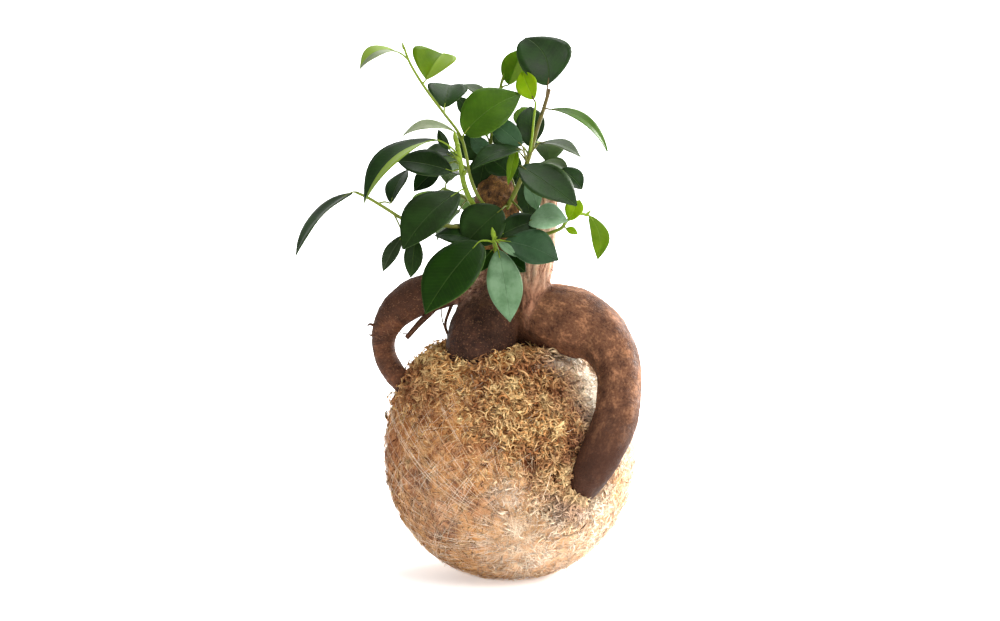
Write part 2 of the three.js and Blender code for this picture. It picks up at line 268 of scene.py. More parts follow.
def add_attribute(mesh: Mesh, name: str, kind: str, values: Rows) -> None:
    """Stores values at a mesh's corners for its material to read.

    Args:
        mesh: The mesh.
        name: The attribute's name.
        kind: FLOAT, FLOAT_VECTOR or FLOAT_COLOR.
        values: A row for each corner.
    """
    member = {"FLOAT": "value", "FLOAT_VECTOR": "vector", "FLOAT_COLOR": "color"}[kind]
    layer = mesh.attributes.new(name, kind, "POINT")
    layer.data.foreach_set(member, np.ascontiguousarray(values, np.float32).ravel())


@dataclass(frozen=True)
class Relief:
    """Fine relief from a cloudy pattern: its cycles to the metre, its detail, and its depth in metres."""

    cycles: float
    detail: float
    depth: float


class Wiring:
    """Adds nodes to one shader tree and joins them."""

    def __init__(self, tree: Tree) -> None:
        """Starts with an empty tree."""
        self.tree = tree
        tree.nodes.clear()

    def feed(self, node: Node, inputs: dict) -> None:
        """Gives a node's named or numbered inputs a value, or joins a socket to them.

        Args:
            node: The node.
            inputs: A value or a socket for each input.
        """
        for key, value in inputs.items():
            if isinstance(value, Socket):
                self.tree.links.new(value, node.inputs[key])
            else:
                node.inputs[key].default_value = value

    def node(self, kind: str, inputs: dict | None = None, **settings: object) -> Node:
        """Adds a node.

        Args:
            kind: The node's type, without the leading ShaderNode.
            inputs: A value or a socket for each named or numbered input.
            **settings: The node's own settings.

        Returns:
            The node.
        """
        made = self.tree.nodes.new("ShaderNode" + kind)
        for key, value in settings.items():
            setattr(made, key, value)
        self.feed(made, inputs or {})
        return made

    def coordinates(self) -> Socket:
        """Where a point lies, in the plant's own frame."""
        return self.node("TexCoord").outputs["Object"]

    def attribute(self, name: str, output: str = "Fac") -> Socket:
        """A value stored at the mesh's corners."""
        return self.node("Attribute", attribute_name=name).outputs[output]

    def split(self, vector: Socket) -> list[Socket]:
        """A vector's three numbers."""
        return list(self.node("SeparateXYZ", {0: vector}).outputs)

    def stretched(self, vector: Socket, scale: Sequence[float]) -> Socket:
        """A vector scaled by a number along each axis."""
        return self.node("Mapping", {"Vector": vector, "Scale": scale}).outputs[0]

    def noise(self, vector: Socket, scale: float, detail: float = 3) -> Socket:
        """A cloudy pattern from about 0.3 to 0.7, with scale in cycles per metre."""
        inputs = {"Vector": vector, "Scale": scale, "Detail": detail, "Roughness": 0.6}
        return self.node("TexNoise", inputs).outputs["Fac"]

    def math(self, operation: str, *values: object) -> Socket:
        """A sum on numbers."""
        return self.node("Math", dict(enumerate(values)), operation=operation).outputs[0]

    def times(self, *values: object) -> Socket:
        """Two numbers multiplied."""
        return self.math("MULTIPLY", *values)

    def span(self, value: object, low: float, high: float, to: Sequence[float] = (0, 1)) -> Socket:
        """A number eased from one range to another and held at its ends."""
        inputs = {"Value": value, "From Min": low, "From Max": high, "To Min": to[0], "To Max": to[1]}
        return self.node("MapRange", inputs, interpolation_type="SMOOTHSTEP").outputs[0]

    def mix(self, share: object, low: object, high: object) -> Socket:
        """A blend of two colours."""
        return self.node("Mix", {0: share, 6: low, 7: high}, data_type="RGBA").outputs[2]

    def bump(self, height: Socket, depth: float, under: Socket | None = None) -> Socket:
        """A normal for relief of a depth in metres, on top of another normal if one is given.

        Args:
            height: The relief, from 0 to 1.
            depth: Its depth.
            under: The other normal.

        Returns:
            The normal.
        """
        inputs = {"Height": height, "Distance": depth, "Strength": 1.0}
        if under is not None:
            inputs["Normal"] = under
        return self.node("Bump", inputs).outputs[0]

    def relief(self, form: Relief, vector: Socket, under: Socket | None = None) -> Socket:
        """A normal for fine relief, on top of another normal if one is given."""
        return self.bump(self.noise(vector, form.cycles, form.detail), form.depth, under)


def new_effect(name: str, takes: dict[str, str], gives: dict[str, str]) -> tuple[Wiring, dict, Tree]:
    """Starts a shared shader effect.

    Args:
        name: The effect's name.
        takes: The kind of each input: Float, Color or Vector.
        gives: The kind of each output.

    Returns:
        The effect's wiring, its input sockets by name, and its tree.
    """
    tree = bpy.data.node_groups.new(name, "ShaderNodeTree")
    for way, sockets in (("INPUT", takes), ("OUTPUT", gives)):
        for socket, kind in sockets.items():
            tree.interface.new_socket(name=socket, in_out=way, socket_type="NodeSocket" + kind)
    wiring = Wiring(tree)
    source = tree.nodes.new("NodeGroupInput")
    return wiring, {name: source.outputs[name] for name in takes}, tree


def end_effect(wiring: Wiring, results: dict[str, Socket]) -> None:
    """Joins an effect's results to its outputs."""
    wiring.feed(wiring.tree.nodes.new("NodeGroupOutput"), results)


@dataclass(frozen=True)
class Mottle:
    """Three colours in soft patches with a fine speckle, as on stems, bark, soil and moss."""

    finer: float = 5.3  # how many times smaller the speckle is than the patches
    strength: float = 0.7  # the speckle's strength against the patches
    turns: tuple = (0.62, 0.85, 1.1)  # where dark ends, middle is full and light is full

    def effect(self) -> Tree:
        """Builds the shader effect that materials share.

        Returns:
            The effect's tree.
        """
        takes = {"Vector": "Vector", "Scale": "Float", "Dark": "Color", "Middle": "Color", "Light": "Color"}
        wiring, given, tree = new_effect("mottle", takes, {"Color": "Color"})
        broad = wiring.node("TexNoise", {"Vector": given["Vector"], "Scale": given["Scale"], "Detail": 3.0})
        finer = wiring.times(given["Scale"], self.finer)
        fine = wiring.node("TexNoise", {"Vector": given["Vector"], "Scale": finer, "Detail": 4.0})
        both = wiring.math("ADD", broad.outputs["Fac"], wiring.times(fine.outputs["Fac"], self.strength))
        lower = wiring.mix(wiring.span(both, *self.turns[:2]), given["Dark"], given["Middle"])
        end_effect(wiring, {"Color": wiring.mix(wiring.span(both, *self.turns[1:]), lower, given["Light"])})
        return tree


@dataclass(frozen=True)
class LeafFace:
    """A leaf's face: soft green patches, a pale rib and rim, faint side veins and a paler underside."""

    rib: tuple = (0.08, 0.36)  # from full to none, in millimetres off the midline
    slant: float = 0.62  # how far a side vein climbs for each millimetre outward
    vein_gap: float = 1.15  # half the way between side veins, in millimetres
    vein: float = 0.35  # half a side vein's width, in millimetres
    rim: tuple = (0.94, 0.99)  # from none to full, as shares of the half width
    patches: float = 95
    patch_turn: tuple = (0.35, 0.66)
    second_edge: float = 0.5  # how soft a lit half's edge is, in millimetres
    paling: tuple = (0.3, 0.035, 0.2, 0.22)  # the rib's colour in a pale leaf, a vein, the rib and the rim
    gloss: tuple = (0.34, 0.46)
    gloss_turn: tuple = (0.3, 0.7)
    dull: float = 0.22  # how much rougher the underside is
    vein_depth: float = 0.08  # against the rib's
    grain: float = 1500
    grain_depth: float = 0.35

    def effect(self) -> Tree:
        """Builds the shader effect that materials share.

        Returns:
            The effect's tree.
        """
        takes = {"Upper": "Color", "Shade": "Color", "Rib": "Color", "Underside": "Color", "Second": "Color"}
        gives = {"Color": "Color", "Roughness": "Float", "Height": "Float"}
        wiring, given, tree = new_effect("leaf_face", takes, gives)
        across, along, share = wiring.split(wiring.attribute("leaf_place", "Vector"))
        under, tone, second = wiring.split(wiring.attribute("leaf_look", "Vector"))
        aside = wiring.math("ABSOLUTE", across)
        rib = wiring.span(aside, *self.rib, (1, 0))
        climb = wiring.math("SUBTRACT", along, wiring.times(aside, self.slant))
        vein = wiring.span(wiring.math("PINGPONG", climb, self.vein_gap), 0.0, self.vein, (1, 0))
        patches = wiring.noise(wiring.coordinates(), self.patches, 4)
        face = wiring.mix(wiring.span(patches, *self.patch_turn), given["Shade"], given["Upper"])
        lit = wiring.span(wiring.times(across, second), 0.0, self.second_edge)
        face = wiring.mix(lit, face, given["Second"])
        for mask, paling in zip((tone, vein, rib, wiring.span(share, *self.rim)), self.paling):
            face = wiring.mix(wiring.times(mask, paling), face, given["Rib"])
        gloss = wiring.span(patches, *self.gloss_turn, self.gloss)
        lines = wiring.math("ADD", wiring.times(vein, self.vein_depth), rib)
        grain = wiring.times(wiring.noise(wiring.coordinates(), self.grain, 2), self.grain_depth)
        results = {
            "Color": wiring.mix(under, face, given["Underside"]),
            "Roughness": wiring.math("ADD", gloss, wiring.times(under, self.dull)),
            "Height": wiring.math("SUBTRACT", grain, lines),
        }
        end_effect(wiring, results)
        return tree


def new_material(name: str) -> tuple[Material, Wiring, Node]:
    """Starts a material.

    Args:
        name: The material's name.

    Returns:
        The material, its wiring and its Principled shader.
    """
    material = bpy.data.materials.new(name)
    material.use_nodes = True
    wiring = Wiring(material.node_tree)
    shader = wiring.node("BsdfPrincipled")
    wiring.node("OutputMaterial", {"Surface": shader.outputs[0]})
    return material, wiring, shader


@dataclass(frozen=True)
class LeafFinish:
    """The greens of one age of leaf, and how it shines and lets light through."""

    upper: Colour
    shade: Colour
    rib: Colour
    underside: Colour
    glow: float = 0.0  # how much light goes through
    second: Colour = paint(132, 158, 56)  # a half that is lit through
    depth: float = 0.7  # what the greens are multiplied by
    shine: float = 0.08
    relief: float = 0.00018  # the rib's depth, in metres
    glow_tint: tuple = (0.6, 1.0, 0.2)  # how far red, green and blue light go in, against glow_reach
    glow_reach: float = 0.0012

    def material(self, name: str, effect: Tree) -> Material:
        """A leaf's material from the shared leaf effect.

        Args:
            name: Its name.
            effect: The leaf effect.

        Returns:
            The material.
        """
        made, wiring, shader = new_material(name)
        colours = (self.upper, self.shade, self.rib, self.underside, self.second)
        names = ("Upper", "Shade", "Rib", "Underside", "Second")
        greens = {name: dim(colour, self.depth) for name, colour in zip(names, colours)}
        face = wiring.node("Group", greens, node_tree=effect).outputs
        finish = {
            "Base Color": face["Color"],
            "Roughness": face["Roughness"],
            "Normal": wiring.bump(face["Height"], self.relief),
            "Specular IOR Level": self.shine,
            "Subsurface Weight": self.glow,
            "Subsurface Radius": self.glow_tint,
            "Subsurface Scale": self.glow_reach,
        }
        wiring.feed(shader, finish)
        return made


class LeafTone(Enum):
    """The kinds of leaf on the plant, by their greens; the grey, misty and frosty greens partly carry painted
    sheen.
    """

    DARK = LeafFinish(paint(31, 58, 20), paint(23, 42, 16), paint(92, 116, 58), paint(62, 86, 42))
    DEEP = LeafFinish(paint(21, 53, 5), paint(17, 44, 7), paint(104, 138, 56), paint(80, 112, 46))
    # The grey, misty and frosty leaves' greens are partly their own and partly painted sheen from the bright
    # room.
    GREY_SHEEN = LeafFinish(paint(60, 76, 48), paint(46, 60, 36), paint(132, 146, 108), paint(124, 134, 104))
    PALE = LeafFinish(
        paint(150, 160, 128), paint(120, 134, 98), paint(176, 186, 150), paint(150, 166, 110), 0.1
    )
    TEAL = LeafFinish(paint(56, 86, 56), paint(42, 68, 42), paint(110, 140, 104), paint(96, 126, 90))
    MIST = LeafFinish(paint(116, 148, 112), paint(84, 116, 80), paint(134, 162, 126), paint(120, 150, 112))
    FROST_SHEEN = LeafFinish(paint(164, 202, 162), paint(126, 164, 122), paint(180, 208, 170), paint(156, 190, 148))
    MID = LeafFinish(paint(64, 98, 10), paint(50, 82, 8), paint(122, 156, 66), paint(100, 134, 50), 0.08)
    FRESH = LeafFinish(paint(94, 122, 5), paint(76, 106, 4), paint(140, 170, 60), paint(120, 156, 40), 0.15)
    YOUNG = LeafFinish(paint(134, 164, 8), paint(116, 150, 6), paint(168, 194, 60), paint(148, 182, 30), 0.15)


@dataclass(frozen=True)
class Tones:
    """Three tones of one material, for the shared mottle, and how many patches of them go to the metre."""

    dark: Colour
    middle: Colour
    light: Colour
    patches: float

    def colour(self, wiring: Wiring, mottle: Tree, where: Socket) -> Socket:
        """The mottled colour.

        Args:
            wiring: The material's wiring.
            mottle: The shared mottle.
            where: Its coordinates.

        Returns:
            The colour.
        """
        colours = {"Dark": self.dark, "Middle": self.middle, "Light": self.light}
        inputs = {"Vector": where, "Scale": self.patches, **colours}
        return wiring.node("Group", inputs, node_tree=mottle).outputs["Color"]


@dataclass(frozen=True)
class StemFinish:
    """Green where a stem is young and brown where it is old."""

    young: Colour = paint(128, 152, 28)
    shade: Colour = paint(84, 108, 32)
    old: Tones = Tones(paint(58, 44, 28), paint(86, 68, 40), paint(86, 68, 40), 260)
    shading: float = 420
    relief: Relief = Relief(900, 3, 0.0002)
    roughness: float = 0.5
    shine: float = 0.2

    def material(self, mottle: Tree) -> Material:
        """The stems' material, which reads how old a stem is at each point.

        Args:
            mottle: The shared mottle.

        Returns:
            The material.
        """
        made, wiring, shader = new_material("stem_skin")
        where = wiring.coordinates()
        green = wiring.mix(wiring.noise(where, self.shading), self.young, self.shade)
        bark = self.old.colour(wiring, mottle, where)
        finish = {
            "Base Color": wiring.mix(wiring.attribute("stem_age"), green, bark),
            "Roughness": self.roughness,
            "Specular IOR Level": self.shine,
            "Normal": wiring.relief(self.relief, where),
        }
        wiring.feed(shader, finish)
        return made


@dataclass(frozen=True)
class BarkFinish:
    """The skins of the trunk and roots, which blend where the limbs meet."""

    right: Tones = Tones(paint(72, 45, 32), paint(104, 69, 49), paint(156, 109, 78), 170)
    left: Tones = Tones(paint(64, 40, 29), paint(90, 57, 40), paint(122, 78, 53), 110)
    middle: Tones = Tones(paint(42, 26, 20), paint(60, 38, 29), paint(82, 54, 40), 110)
    column: Tones = Tones(paint(134, 90, 70), paint(208, 164, 136), paint(232, 200, 174), 300)
    foot: Tones = Tones(paint(112, 72, 56), paint(168, 118, 92), paint(200, 152, 122), 150)
    trunk: Tones = Tones(paint(52, 35, 22), paint(104, 72, 42), paint(150, 108, 62), 300)
    lumps: Tones = Tones(paint(84, 54, 43), paint(150, 108, 90), paint(196, 158, 138), 260)
    # painted shade in the bark's cracks and deep places
    hollow_shade: Colour = paint(34, 22, 16)
    speck: Colour = paint(178, 132, 96)
    # the bark is darker towards the bottom
    low_dark: Colour = paint(56, 33, 24)
    right_grain: tuple = (0.8, 1, 1)  # how the grain is stretched along and across a limb
    left_grain: tuple = (1.6, 0.7, 0.7)
    fissures: tuple = (0.16, 1, 1)
    ringed: tuple = (1, 0.3, 0.3)
    left_top_shade: tuple = (0.128, 0.142)  # heights in metres that painted shade on the left root's upper end, under the leaves, fades in between
    foot_top: tuple = (0.146, 0.166)  # heights that the pale column's foot fades between
    low_dark_top: tuple = (0.07, 0.115)  # heights that the darker colour towards the bottom fades between
    specks: float = 1100
    speck_turn: tuple = (0.56, 0.68)
    fullest: tuple = (0.85, 0.28, 0.9, 0.6)  # the share of painted shade on the left root's upper end, the specks', the darker colour low down, and the painted shade in the cracks
    depths: tuple = (-0.9, 0.25)  # depths in millimetres that the painted shade in the cracks fades between
    gloss: float = 300
    roughness: tuple = (0.55, 0.75)
    shine: float = 0.1
    rings: Relief = Relief(700, 4, 0.00045)
    pores: Relief = Relief(1500, 4, 0.0005)
    lines: Relief = Relief(900, 4, 0.0007)

    def material(self, mottle: Tree) -> Material:
        """The bark's material, which reads how much of each limb a point is.

        Args:
            mottle: The shared mottle.

        Returns:
            The material.
        """
        made, wiring, shader = new_material("bark_skin")
        where = wiring.coordinates()
        height = wiring.split(where)[2]
        grain = wiring.attribute("bark_grain", "Vector")
        limbs = wiring.node("Attribute", attribute_name="limb_share")
        column, left, middle = wiring.split(limbs.outputs["Vector"])
        fissures = wiring.stretched(grain, self.fissures)
        darkened, speck, low_dark, hollow_shading = self.fullest
        # painted shade on the left root's upper end, under the leaves
        left_top_shade = wiring.times(wiring.span(height, *self.left_top_shade, (0, darkened)), left)
        pale = self.column.colour(wiring, mottle, fissures)
        foot = self.foot.colour(wiring, mottle, grain)
        # painted shade where the bark lies deep
        hollow_shade = wiring.span(wiring.attribute("bark_depth"), *self.depths, (1, 0))
        layers = (
            (left, self.left.colour(wiring, mottle, wiring.stretched(grain, self.left_grain))),
            (left_top_shade, self.left.dark),
            (middle, self.middle.colour(wiring, mottle, where)),
            (limbs.outputs["Alpha"], self.trunk.colour(wiring, mottle, where)),
            (column, wiring.mix(wiring.span(height, *self.foot_top, (1, 0)), pale, foot)),
            (wiring.attribute("lump_share"), self.lumps.colour(wiring, mottle, where)),
            (wiring.span(wiring.noise(where, self.specks, 4), *self.speck_turn, (0, speck)), self.speck),
            (wiring.span(height, *self.low_dark_top, (low_dark, 0)), self.low_dark),
            (wiring.times(hollow_shade, hollow_shading), self.hollow_shade),
        )
        colour = self.right.colour(wiring, mottle, wiring.stretched(grain, self.right_grain))
        for share, layer in layers:
            colour = wiring.mix(share, colour, layer)
        rings = wiring.relief(self.rings, wiring.stretched(grain, self.ringed))
        lines = wiring.times(wiring.noise(fissures, self.lines.cycles, self.lines.detail), column)
        finish = {
            "Base Color": colour,
            "Roughness": wiring.span(wiring.noise(where, self.gloss), *CLOUDY, self.roughness),
            "Specular IOR Level": self.shine,
            "Normal": wiring.bump(lines, self.lines.depth, wiring.relief(self.pores, where, rings)),
        }
        wiring.feed(shader, finish)
        return made


@dataclass(frozen=True)
class MossFinish:
    """Dried moss: straw and gold, reddish in places, with painted shade in its hollows, a painted highlight
    on its lightest strands and painted glare where it is blown white.
    """

    straw: Tones = Tones(paint(180, 114, 60), paint(216, 158, 96), paint(236, 194, 140), 240)
    # reddish moss, also used as painted shade under the right root's loop
    rust_and_shade: Tones = Tones(paint(124, 68, 40), paint(170, 110, 70), paint(208, 152, 108), 240)
    # the painted hollow shade; pale straw that also paints highlight; and the white of the pale veil and
    # painted glare
    hollow_shade: Colour = paint(106, 52, 24)
    pale_and_highlight: Colour = paint(252, 219, 156)
    haze_and_glare: Colour = paint(255, 247, 230)
    darkening: float = 0.6  # how far the darkest moss nears the painted hollow shade
    brightening: float = 0.85  # how far the lightest moss nears the pale straw with its painted highlight
    rusting: float = 0.85
    lights: tuple = (0.45, 0.95)  # tones that the pale straw with its painted highlight fades in between
    darks: tuple = (0.05, 0.4)  # tones that the painted hollow shade fades out between
    relief: Relief = Relief(1300, 4, 0.0002)
    roughness: float = 0.85
    shine: float = 0.15

    def material(self, name: str, mottle: Tree) -> Material:
        """Its material, which reads how light, rusty and hazy the moss is at each point, with its painted
        shade and glare.

        Args:
            name: Its name.
            mottle: The shared mottle.

        Returns:
            The material.
        """
        made, wiring, shader = new_material(name)
        where = wiring.coordinates()
        tone = wiring.attribute("moss_tone_and_shade")
        light = wiring.span(tone, *self.lights, (0, self.brightening))
        dark = wiring.span(tone, *self.darks, (self.darkening, 0))
        rusty = wiring.times(wiring.attribute("moss_rust_and_shade"), self.rusting)
        colour = wiring.mix(light, self.straw.colour(wiring, mottle, where), self.pale_and_highlight)
        colour = wiring.mix(rusty, colour, self.rust_and_shade.colour(wiring, mottle, where))
        colour = wiring.mix(dark, colour, self.hollow_shade)
        finish = {
            "Base Color": wiring.mix(wiring.attribute("moss_haze_and_glare"), colour, self.haze_and_glare),
            "Roughness": self.roughness,
            "Specular IOR Level": self.shine,
            "Normal": wiring.relief(self.relief, where),
        }
        wiring.feed(shader, finish)
        return made


@dataclass(frozen=True)
class ThreadFinish:
    """Fine pale thread with a little shine."""

    pale: Colour = paint(252, 232, 204)
    shade: Colour = paint(214, 170, 122)
    shading: float = 90
    relief: Relief = Relief(4000, 3, 0.00003)
    roughness: float = 0.4

    def material(self) -> Material:
        """The thread's material.

        Returns:
            The material.
        """
        made, wiring, shader = new_material("thread_fibre")
        where = wiring.coordinates()
        share = wiring.span(wiring.noise(where, self.shading), *CLOUDY)
        finish = {
            "Base Color": wiring.mix(share, self.shade, self.pale),
            "Roughness": self.roughness,
            "Normal": wiring.relief(self.relief, where),
        }
        wiring.feed(shader, finish)
        return made


@dataclass(frozen=True)
class SoilFinish:
    """Dark crumbly soil."""

    tones: Tones = Tones(paint(36, 25, 18), paint(60, 42, 29), paint(92, 68, 48), 160)
    relief: Relief = Relief(500, 5, 0.002)
    roughness: float = 1.0

    def material(self, mottle: Tree) -> Material:
        """The soil's material.

        Args:
            mottle: The shared mottle.

        Returns:
            The material.
        """
        made, wiring, shader = new_material("soil_crumb")
        where = wiring.coordinates()
        finish = {
            "Base Color": self.tones.colour(wiring, mottle, where),
            "Roughness": self.roughness,
            "Normal": wiring.relief(self.relief, where),
        }
        wiring.feed(shader, finish)
        return made


class Palette:
    """Every material, made once."""

    def __init__(self) -> None:
        """Builds the shared effects and then the materials."""
        mottle = Mottle().effect()
        face = LeafFace().effect()
        # the mat takes painted shade: its darkest tones go nearly to the hollow shade, and it gets no painted
        # highlight
        mat = MossFinish(darkening=0.9, brightening=0.0, relief=Relief(1300, 4, 0.0006))
        self.leaves = {tone: tone.value.material(f"leaf_{tone.name.lower()}", face) for tone in LeafTone}
        self.stem = StemFinish().material(mottle)
        self.bark = BarkFinish().material(mottle)
        self.moss = mat.material("moss_mat", mottle)
        self.strands = MossFinish().material("moss_strand", mottle)
        self.thread = ThreadFinish().material()
        self.soil = SoilFinish().material(mottle)


@dataclass(frozen=True)
class Spot:
    """A round patch on the ball: its direction from the ball's centre, size in radians and strength."""

    toward: tuple[float, float, float]
    spread: float
    strength: float = 1.0

    def share(self, directions: Rows) -> Rows:
        """How much of the patch is at each direction, from 0 to its strength.

        Args:
            directions: The directions.

        Returns:
            The patch's share at each.
        """
        middle = np.array(Vector(self.toward).normalized())
        angle = np.arccos(np.clip(directions @ middle, -1, 1))
        return self.strength * np.exp(-((angle / self.spread) ** 2))


def most(spots: Sequence[Spot], directions: Rows) -> Rows:
    """The strongest of several patches at each direction."""
    return np.max([spot.share(directions) for spot in spots], axis=0)


@dataclass(frozen=True)
class Cloud:
    """A smooth random pattern: the size of its patches in its points' own unit, its height and its seed."""

    size: float
    height: float
    seed: float

    def at(self, points: Rows) -> Rows:
        """The pattern at each point, from about -height to height."""
        shift = Vector((self.seed, self.seed * 0.7, -self.seed))
        return np.array([noise.noise(Vector(point) / self.size + shift) for point in points]) * self.height


@dataclass
class MossBall:
    """The ball of moss: how far it reaches, where it is loose, rusty, pale or torn, and its mat."""

    radius: float = 64.5
    centre_z: float = 61.5
    top_rise: float = 57.0  # how far its flat top is above its centre
    cover: float = 9.6  # how thick the moss is round the soil
    mat_depth: float = 0.9  # how far the mat lies under the strands' even surface
    bulges: tuple = (
        Spot((-0.72, -0.1, 0.69), 0.42, 4.5), Spot((0.55, -0.75, 0.35), 0.5, 2.0),
        Spot((0.5, -0.83, -0.24), 0.14, 3.4),
    )
    # patches of painted highlight, where the key light blows the moss white beside the right root's loop;
    # they also smooth the lumps and keep loose strands off
    glare_patches: tuple = (
        Spot((0.42, -0.43, 0.8), 0.13, 0.6), Spot((0.5, -0.27, 0.82), 0.15, 1.0),
        Spot((0.63, -0.38, 0.67), 0.2, 1.0), Spot((0.65, -0.54, 0.54), 0.17, 1.0),
        Spot((0.67, -0.64, 0.37), 0.13, 0.9),
    )
    loose: tuple = (
        Spot((0.1, 0.0, 1.0), 0.62), Spot((0.5, -0.75, 0.42), 0.5),
        Spot((0.5, -0.85, 0.05), 0.36, 0.9), Spot((0.15, -0.82, 0.55), 0.38),
        Spot((-0.6, -0.35, 0.72), 0.3, 0.8), Spot((0.3, 0.75, 0.6), 0.4, 0.7),
    )
    # reddish moss; the spot toward (0.47, -0.86, 0.23) is painted shade in the dark hollow under the right
    # root's loop
    rust_and_shade: tuple = (
        Spot((0.43, -0.87, -0.22), 0.15, 1.0), Spot((-0.82, -0.55, 0.1), 0.3, 0.9),
        Spot((-0.62, -0.6, 0.5), 0.3, 0.7), Spot((0.2, -0.8, 0.62), 0.22, 0.5),
        Spot((-0.3, -0.9, -0.45), 0.18, 0.5), Spot((-0.9, -0.4, 0.0), 0.7, 0.85),
        Spot((-0.6, -0.65, -0.45), 0.5, 0.75), Spot((-0.3, -0.75, -0.6), 0.25, 0.5),
        Spot((-0.2, -0.5, 0.85), 0.35, 0.4), Spot((-0.4, -0.85, 0.2), 0.12, 0.8),
        Spot((0.1, -0.98, 0.2), 0.1, 0.6), Spot((0.24, -0.54, 0.8), 0.25, 0.8),
        Spot((0.47, -0.86, 0.23), 0.17, 1.0), Spot((0.51, -0.73, 0.45), 0.18, 0.5),
    )
    # a pale veil of thread low on the front and underneath, with painted glare on the right and lower right
    # where the light blows the moss white
    haze_and_glare: tuple = (
        Spot((0.16, -0.9, -0.42), 0.3, 0.85), Spot((0.18, -0.77, -0.7), 0.42, 0.95),
        Spot((0.98, -0.2, 0.1), 0.5, 0.9), Spot((0.62, -0.52, -0.6), 0.5, 0.95),
        Spot((0.68, -0.65, -0.34), 0.26, 0.95), Spot((-0.5, -0.8, -0.35), 0.5, 0.25),
        Spot((-0.01, -0.99, -0.15), 0.17, 0.8),
    )
    holes: tuple = (
        Spot((0.154, -0.98, 0.13), 0.05), Spot((0.62, -0.76, 0.1), 0.05),
        Spot((0.48, -0.85, 0.22), 0.1, 0.4), Spot((0.22, -0.56, 0.8), 0.12, 0.3),
    )
    broad: Cloud = Cloud(0.1, 2.1, 1)  # lumps in millimetres, on a ball of radius 1
    fine: Cloud = Cloud(0.045, 1.6, 2)
    pressed_share: float = 0.3  # what the thread leaves of the lumps
    glare_calm: float = 0.7  # what a patch of painted highlight takes off them
    hole_depth: float = 6.0
    rust_clouds: tuple = (Cloud(0.3, 1.2, 3), Cloud(0.1, 1.1, 8))
    haze_cloud: Cloud = Cloud(0.08, 0.5, 5)
    rust_span: tuple = (-0.4, 1)
    rust_share: float = 0.8
    haze_even: float = 0.8
    haze_most: float = 0.95
    mat_veil: float = 0.35
    mat_rings: tuple = (6, 4)  # how often the mat's outside and inside are divided
    mat_tone_and_shade: tuple = (0.45, 0.3, -0.4)  # middling, plus painted shade: lighter for each millimetre of lump, darker where the loose strands lie over it
    lowest: float = 0.1

    def reach(self, directions: Rows) -> Rows:
        """How far the moss reaches from the ball's centre in each direction, in millimetres.

        Args:
            directions: Directions from the ball's centre.

        Returns:
            How far it reaches in each.
        """
        far = self.radius + sum(bulge.share(directions) for bulge in self.bulges)
        flat = np.where(directions[:, 2] < 0, self.centre_z, self.top_rise)
        return np.minimum(far, flat / np.maximum(np.abs(directions[:, 2]), WELD))

    def at(self, directions: Rows, lift: Rows | float) -> Rows:
        """Points a lift in millimetres above the moss's even surface, in metres.

        Args:
            directions: Directions from the ball's centre.
            lift: The lift.

        Returns:
            The points.
        """
        points = directions * (self.reach(directions) + lift)[:, None]
        points[:, 2] += self.centre_z
        return points * MM

    def lumps(self, directions: Rows) -> Rows:
        """How far the moss's own lumps stand out in each direction, in millimetres.

        Args:
            directions: Directions from the ball's centre.

        Returns:
            The height of the lumps in each.
        """
        ruffle = self.pressed_share + most(self.loose, directions)
        even = 1 - self.glare_calm * most(self.glare_patches, directions)
        both = self.broad.at(directions) + self.fine.at(directions)
        return both * ruffle * even - self.hole_depth * most(self.holes, directions)

    def dress(self, mesh: Mesh, directions: Rows, tone: Rows, veil: float) -> None:
        """Stores what the moss's material reads at a mesh's corners.

        Args:
            mesh: The mesh.
            directions: Each corner's direction from the ball's centre.
            tone: How light the moss is at each corner, from 0 to 1, painted light and shade included.
            veil: How much of the haze and painted glare the mesh takes on.
        """
        patches = sum(cloud.at(directions) for cloud in self.rust_clouds)
        rust_and_shade = most(self.rust_and_shade, directions) + np.clip(patches, *self.rust_span) * self.rust_share
        # the pale veil and painted glare, and at full strength the glare patches' painted highlight
        haze_and_glare = most(self.haze_and_glare, directions) * (self.haze_even + self.haze_cloud.at(directions)) * veil
        haze_and_glare = np.maximum(haze_and_glare, most(self.glare_patches, directions))
        add_attribute(mesh, "moss_rust_and_shade", "FLOAT", np.clip(rust_and_shade, 0, 1))
        add_attribute(mesh, "moss_haze_and_glare", "FLOAT", np.clip(haze_and_glare, 0, self.haze_most))
        add_attribute(mesh, "moss_tone_and_shade", "FLOAT", np.clip(tone, 0, 1))

    def build(self, palette: Palette) -> None:
        """Makes the lumpy mat, an outer skin with the hollow for the soil, and gives the soil its finish.

        Args:
            palette: The materials.
        """
        mesh = bpy.data.meshes.new("moss_mat")
        with shaping(mesh) as form:
            bmesh.ops.create_icosphere(form, subdivisions=self.mat_rings[0], radius=1)
            outside = len(form.verts)
            inner = bmesh.ops.create_icosphere(form, subdivisions=self.mat_rings[1], radius=1)["verts"]
            bmesh.ops.reverse_faces(form, faces=list({face for vert in inner for face in vert.link_faces}))
        directions = unit_rows(corners_of(mesh))
        lumps = self.lumps(directions)
        lift = np.where(np.arange(len(directions)) < outside, lumps - self.mat_depth, -self.cover)
        points = self.at(directions, lift)
        points[:, 2] = np.maximum(points[:, 2], self.lowest * MM)
        mesh.vertices.foreach_set("co", points.ravel())
        mesh.shade_smooth()
        # painted shade: the mat darkens in its dips and where the loose strands lie over it
        even, shade_per_lump, shade_under_loose = self.mat_tone_and_shade
        tone = even + lumps * shade_per_lump + shade_under_loose * most(self.loose, directions)
        self.dress(mesh, directions, tone, self.mat_veil)
        mesh.materials.append(palette.moss)
        piece("moss_cover_mat", mesh, "moss", ["moss_cover"])
        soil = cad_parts["soil_core"].data.materials
        soil.clear()
        soil.append(palette.soil)


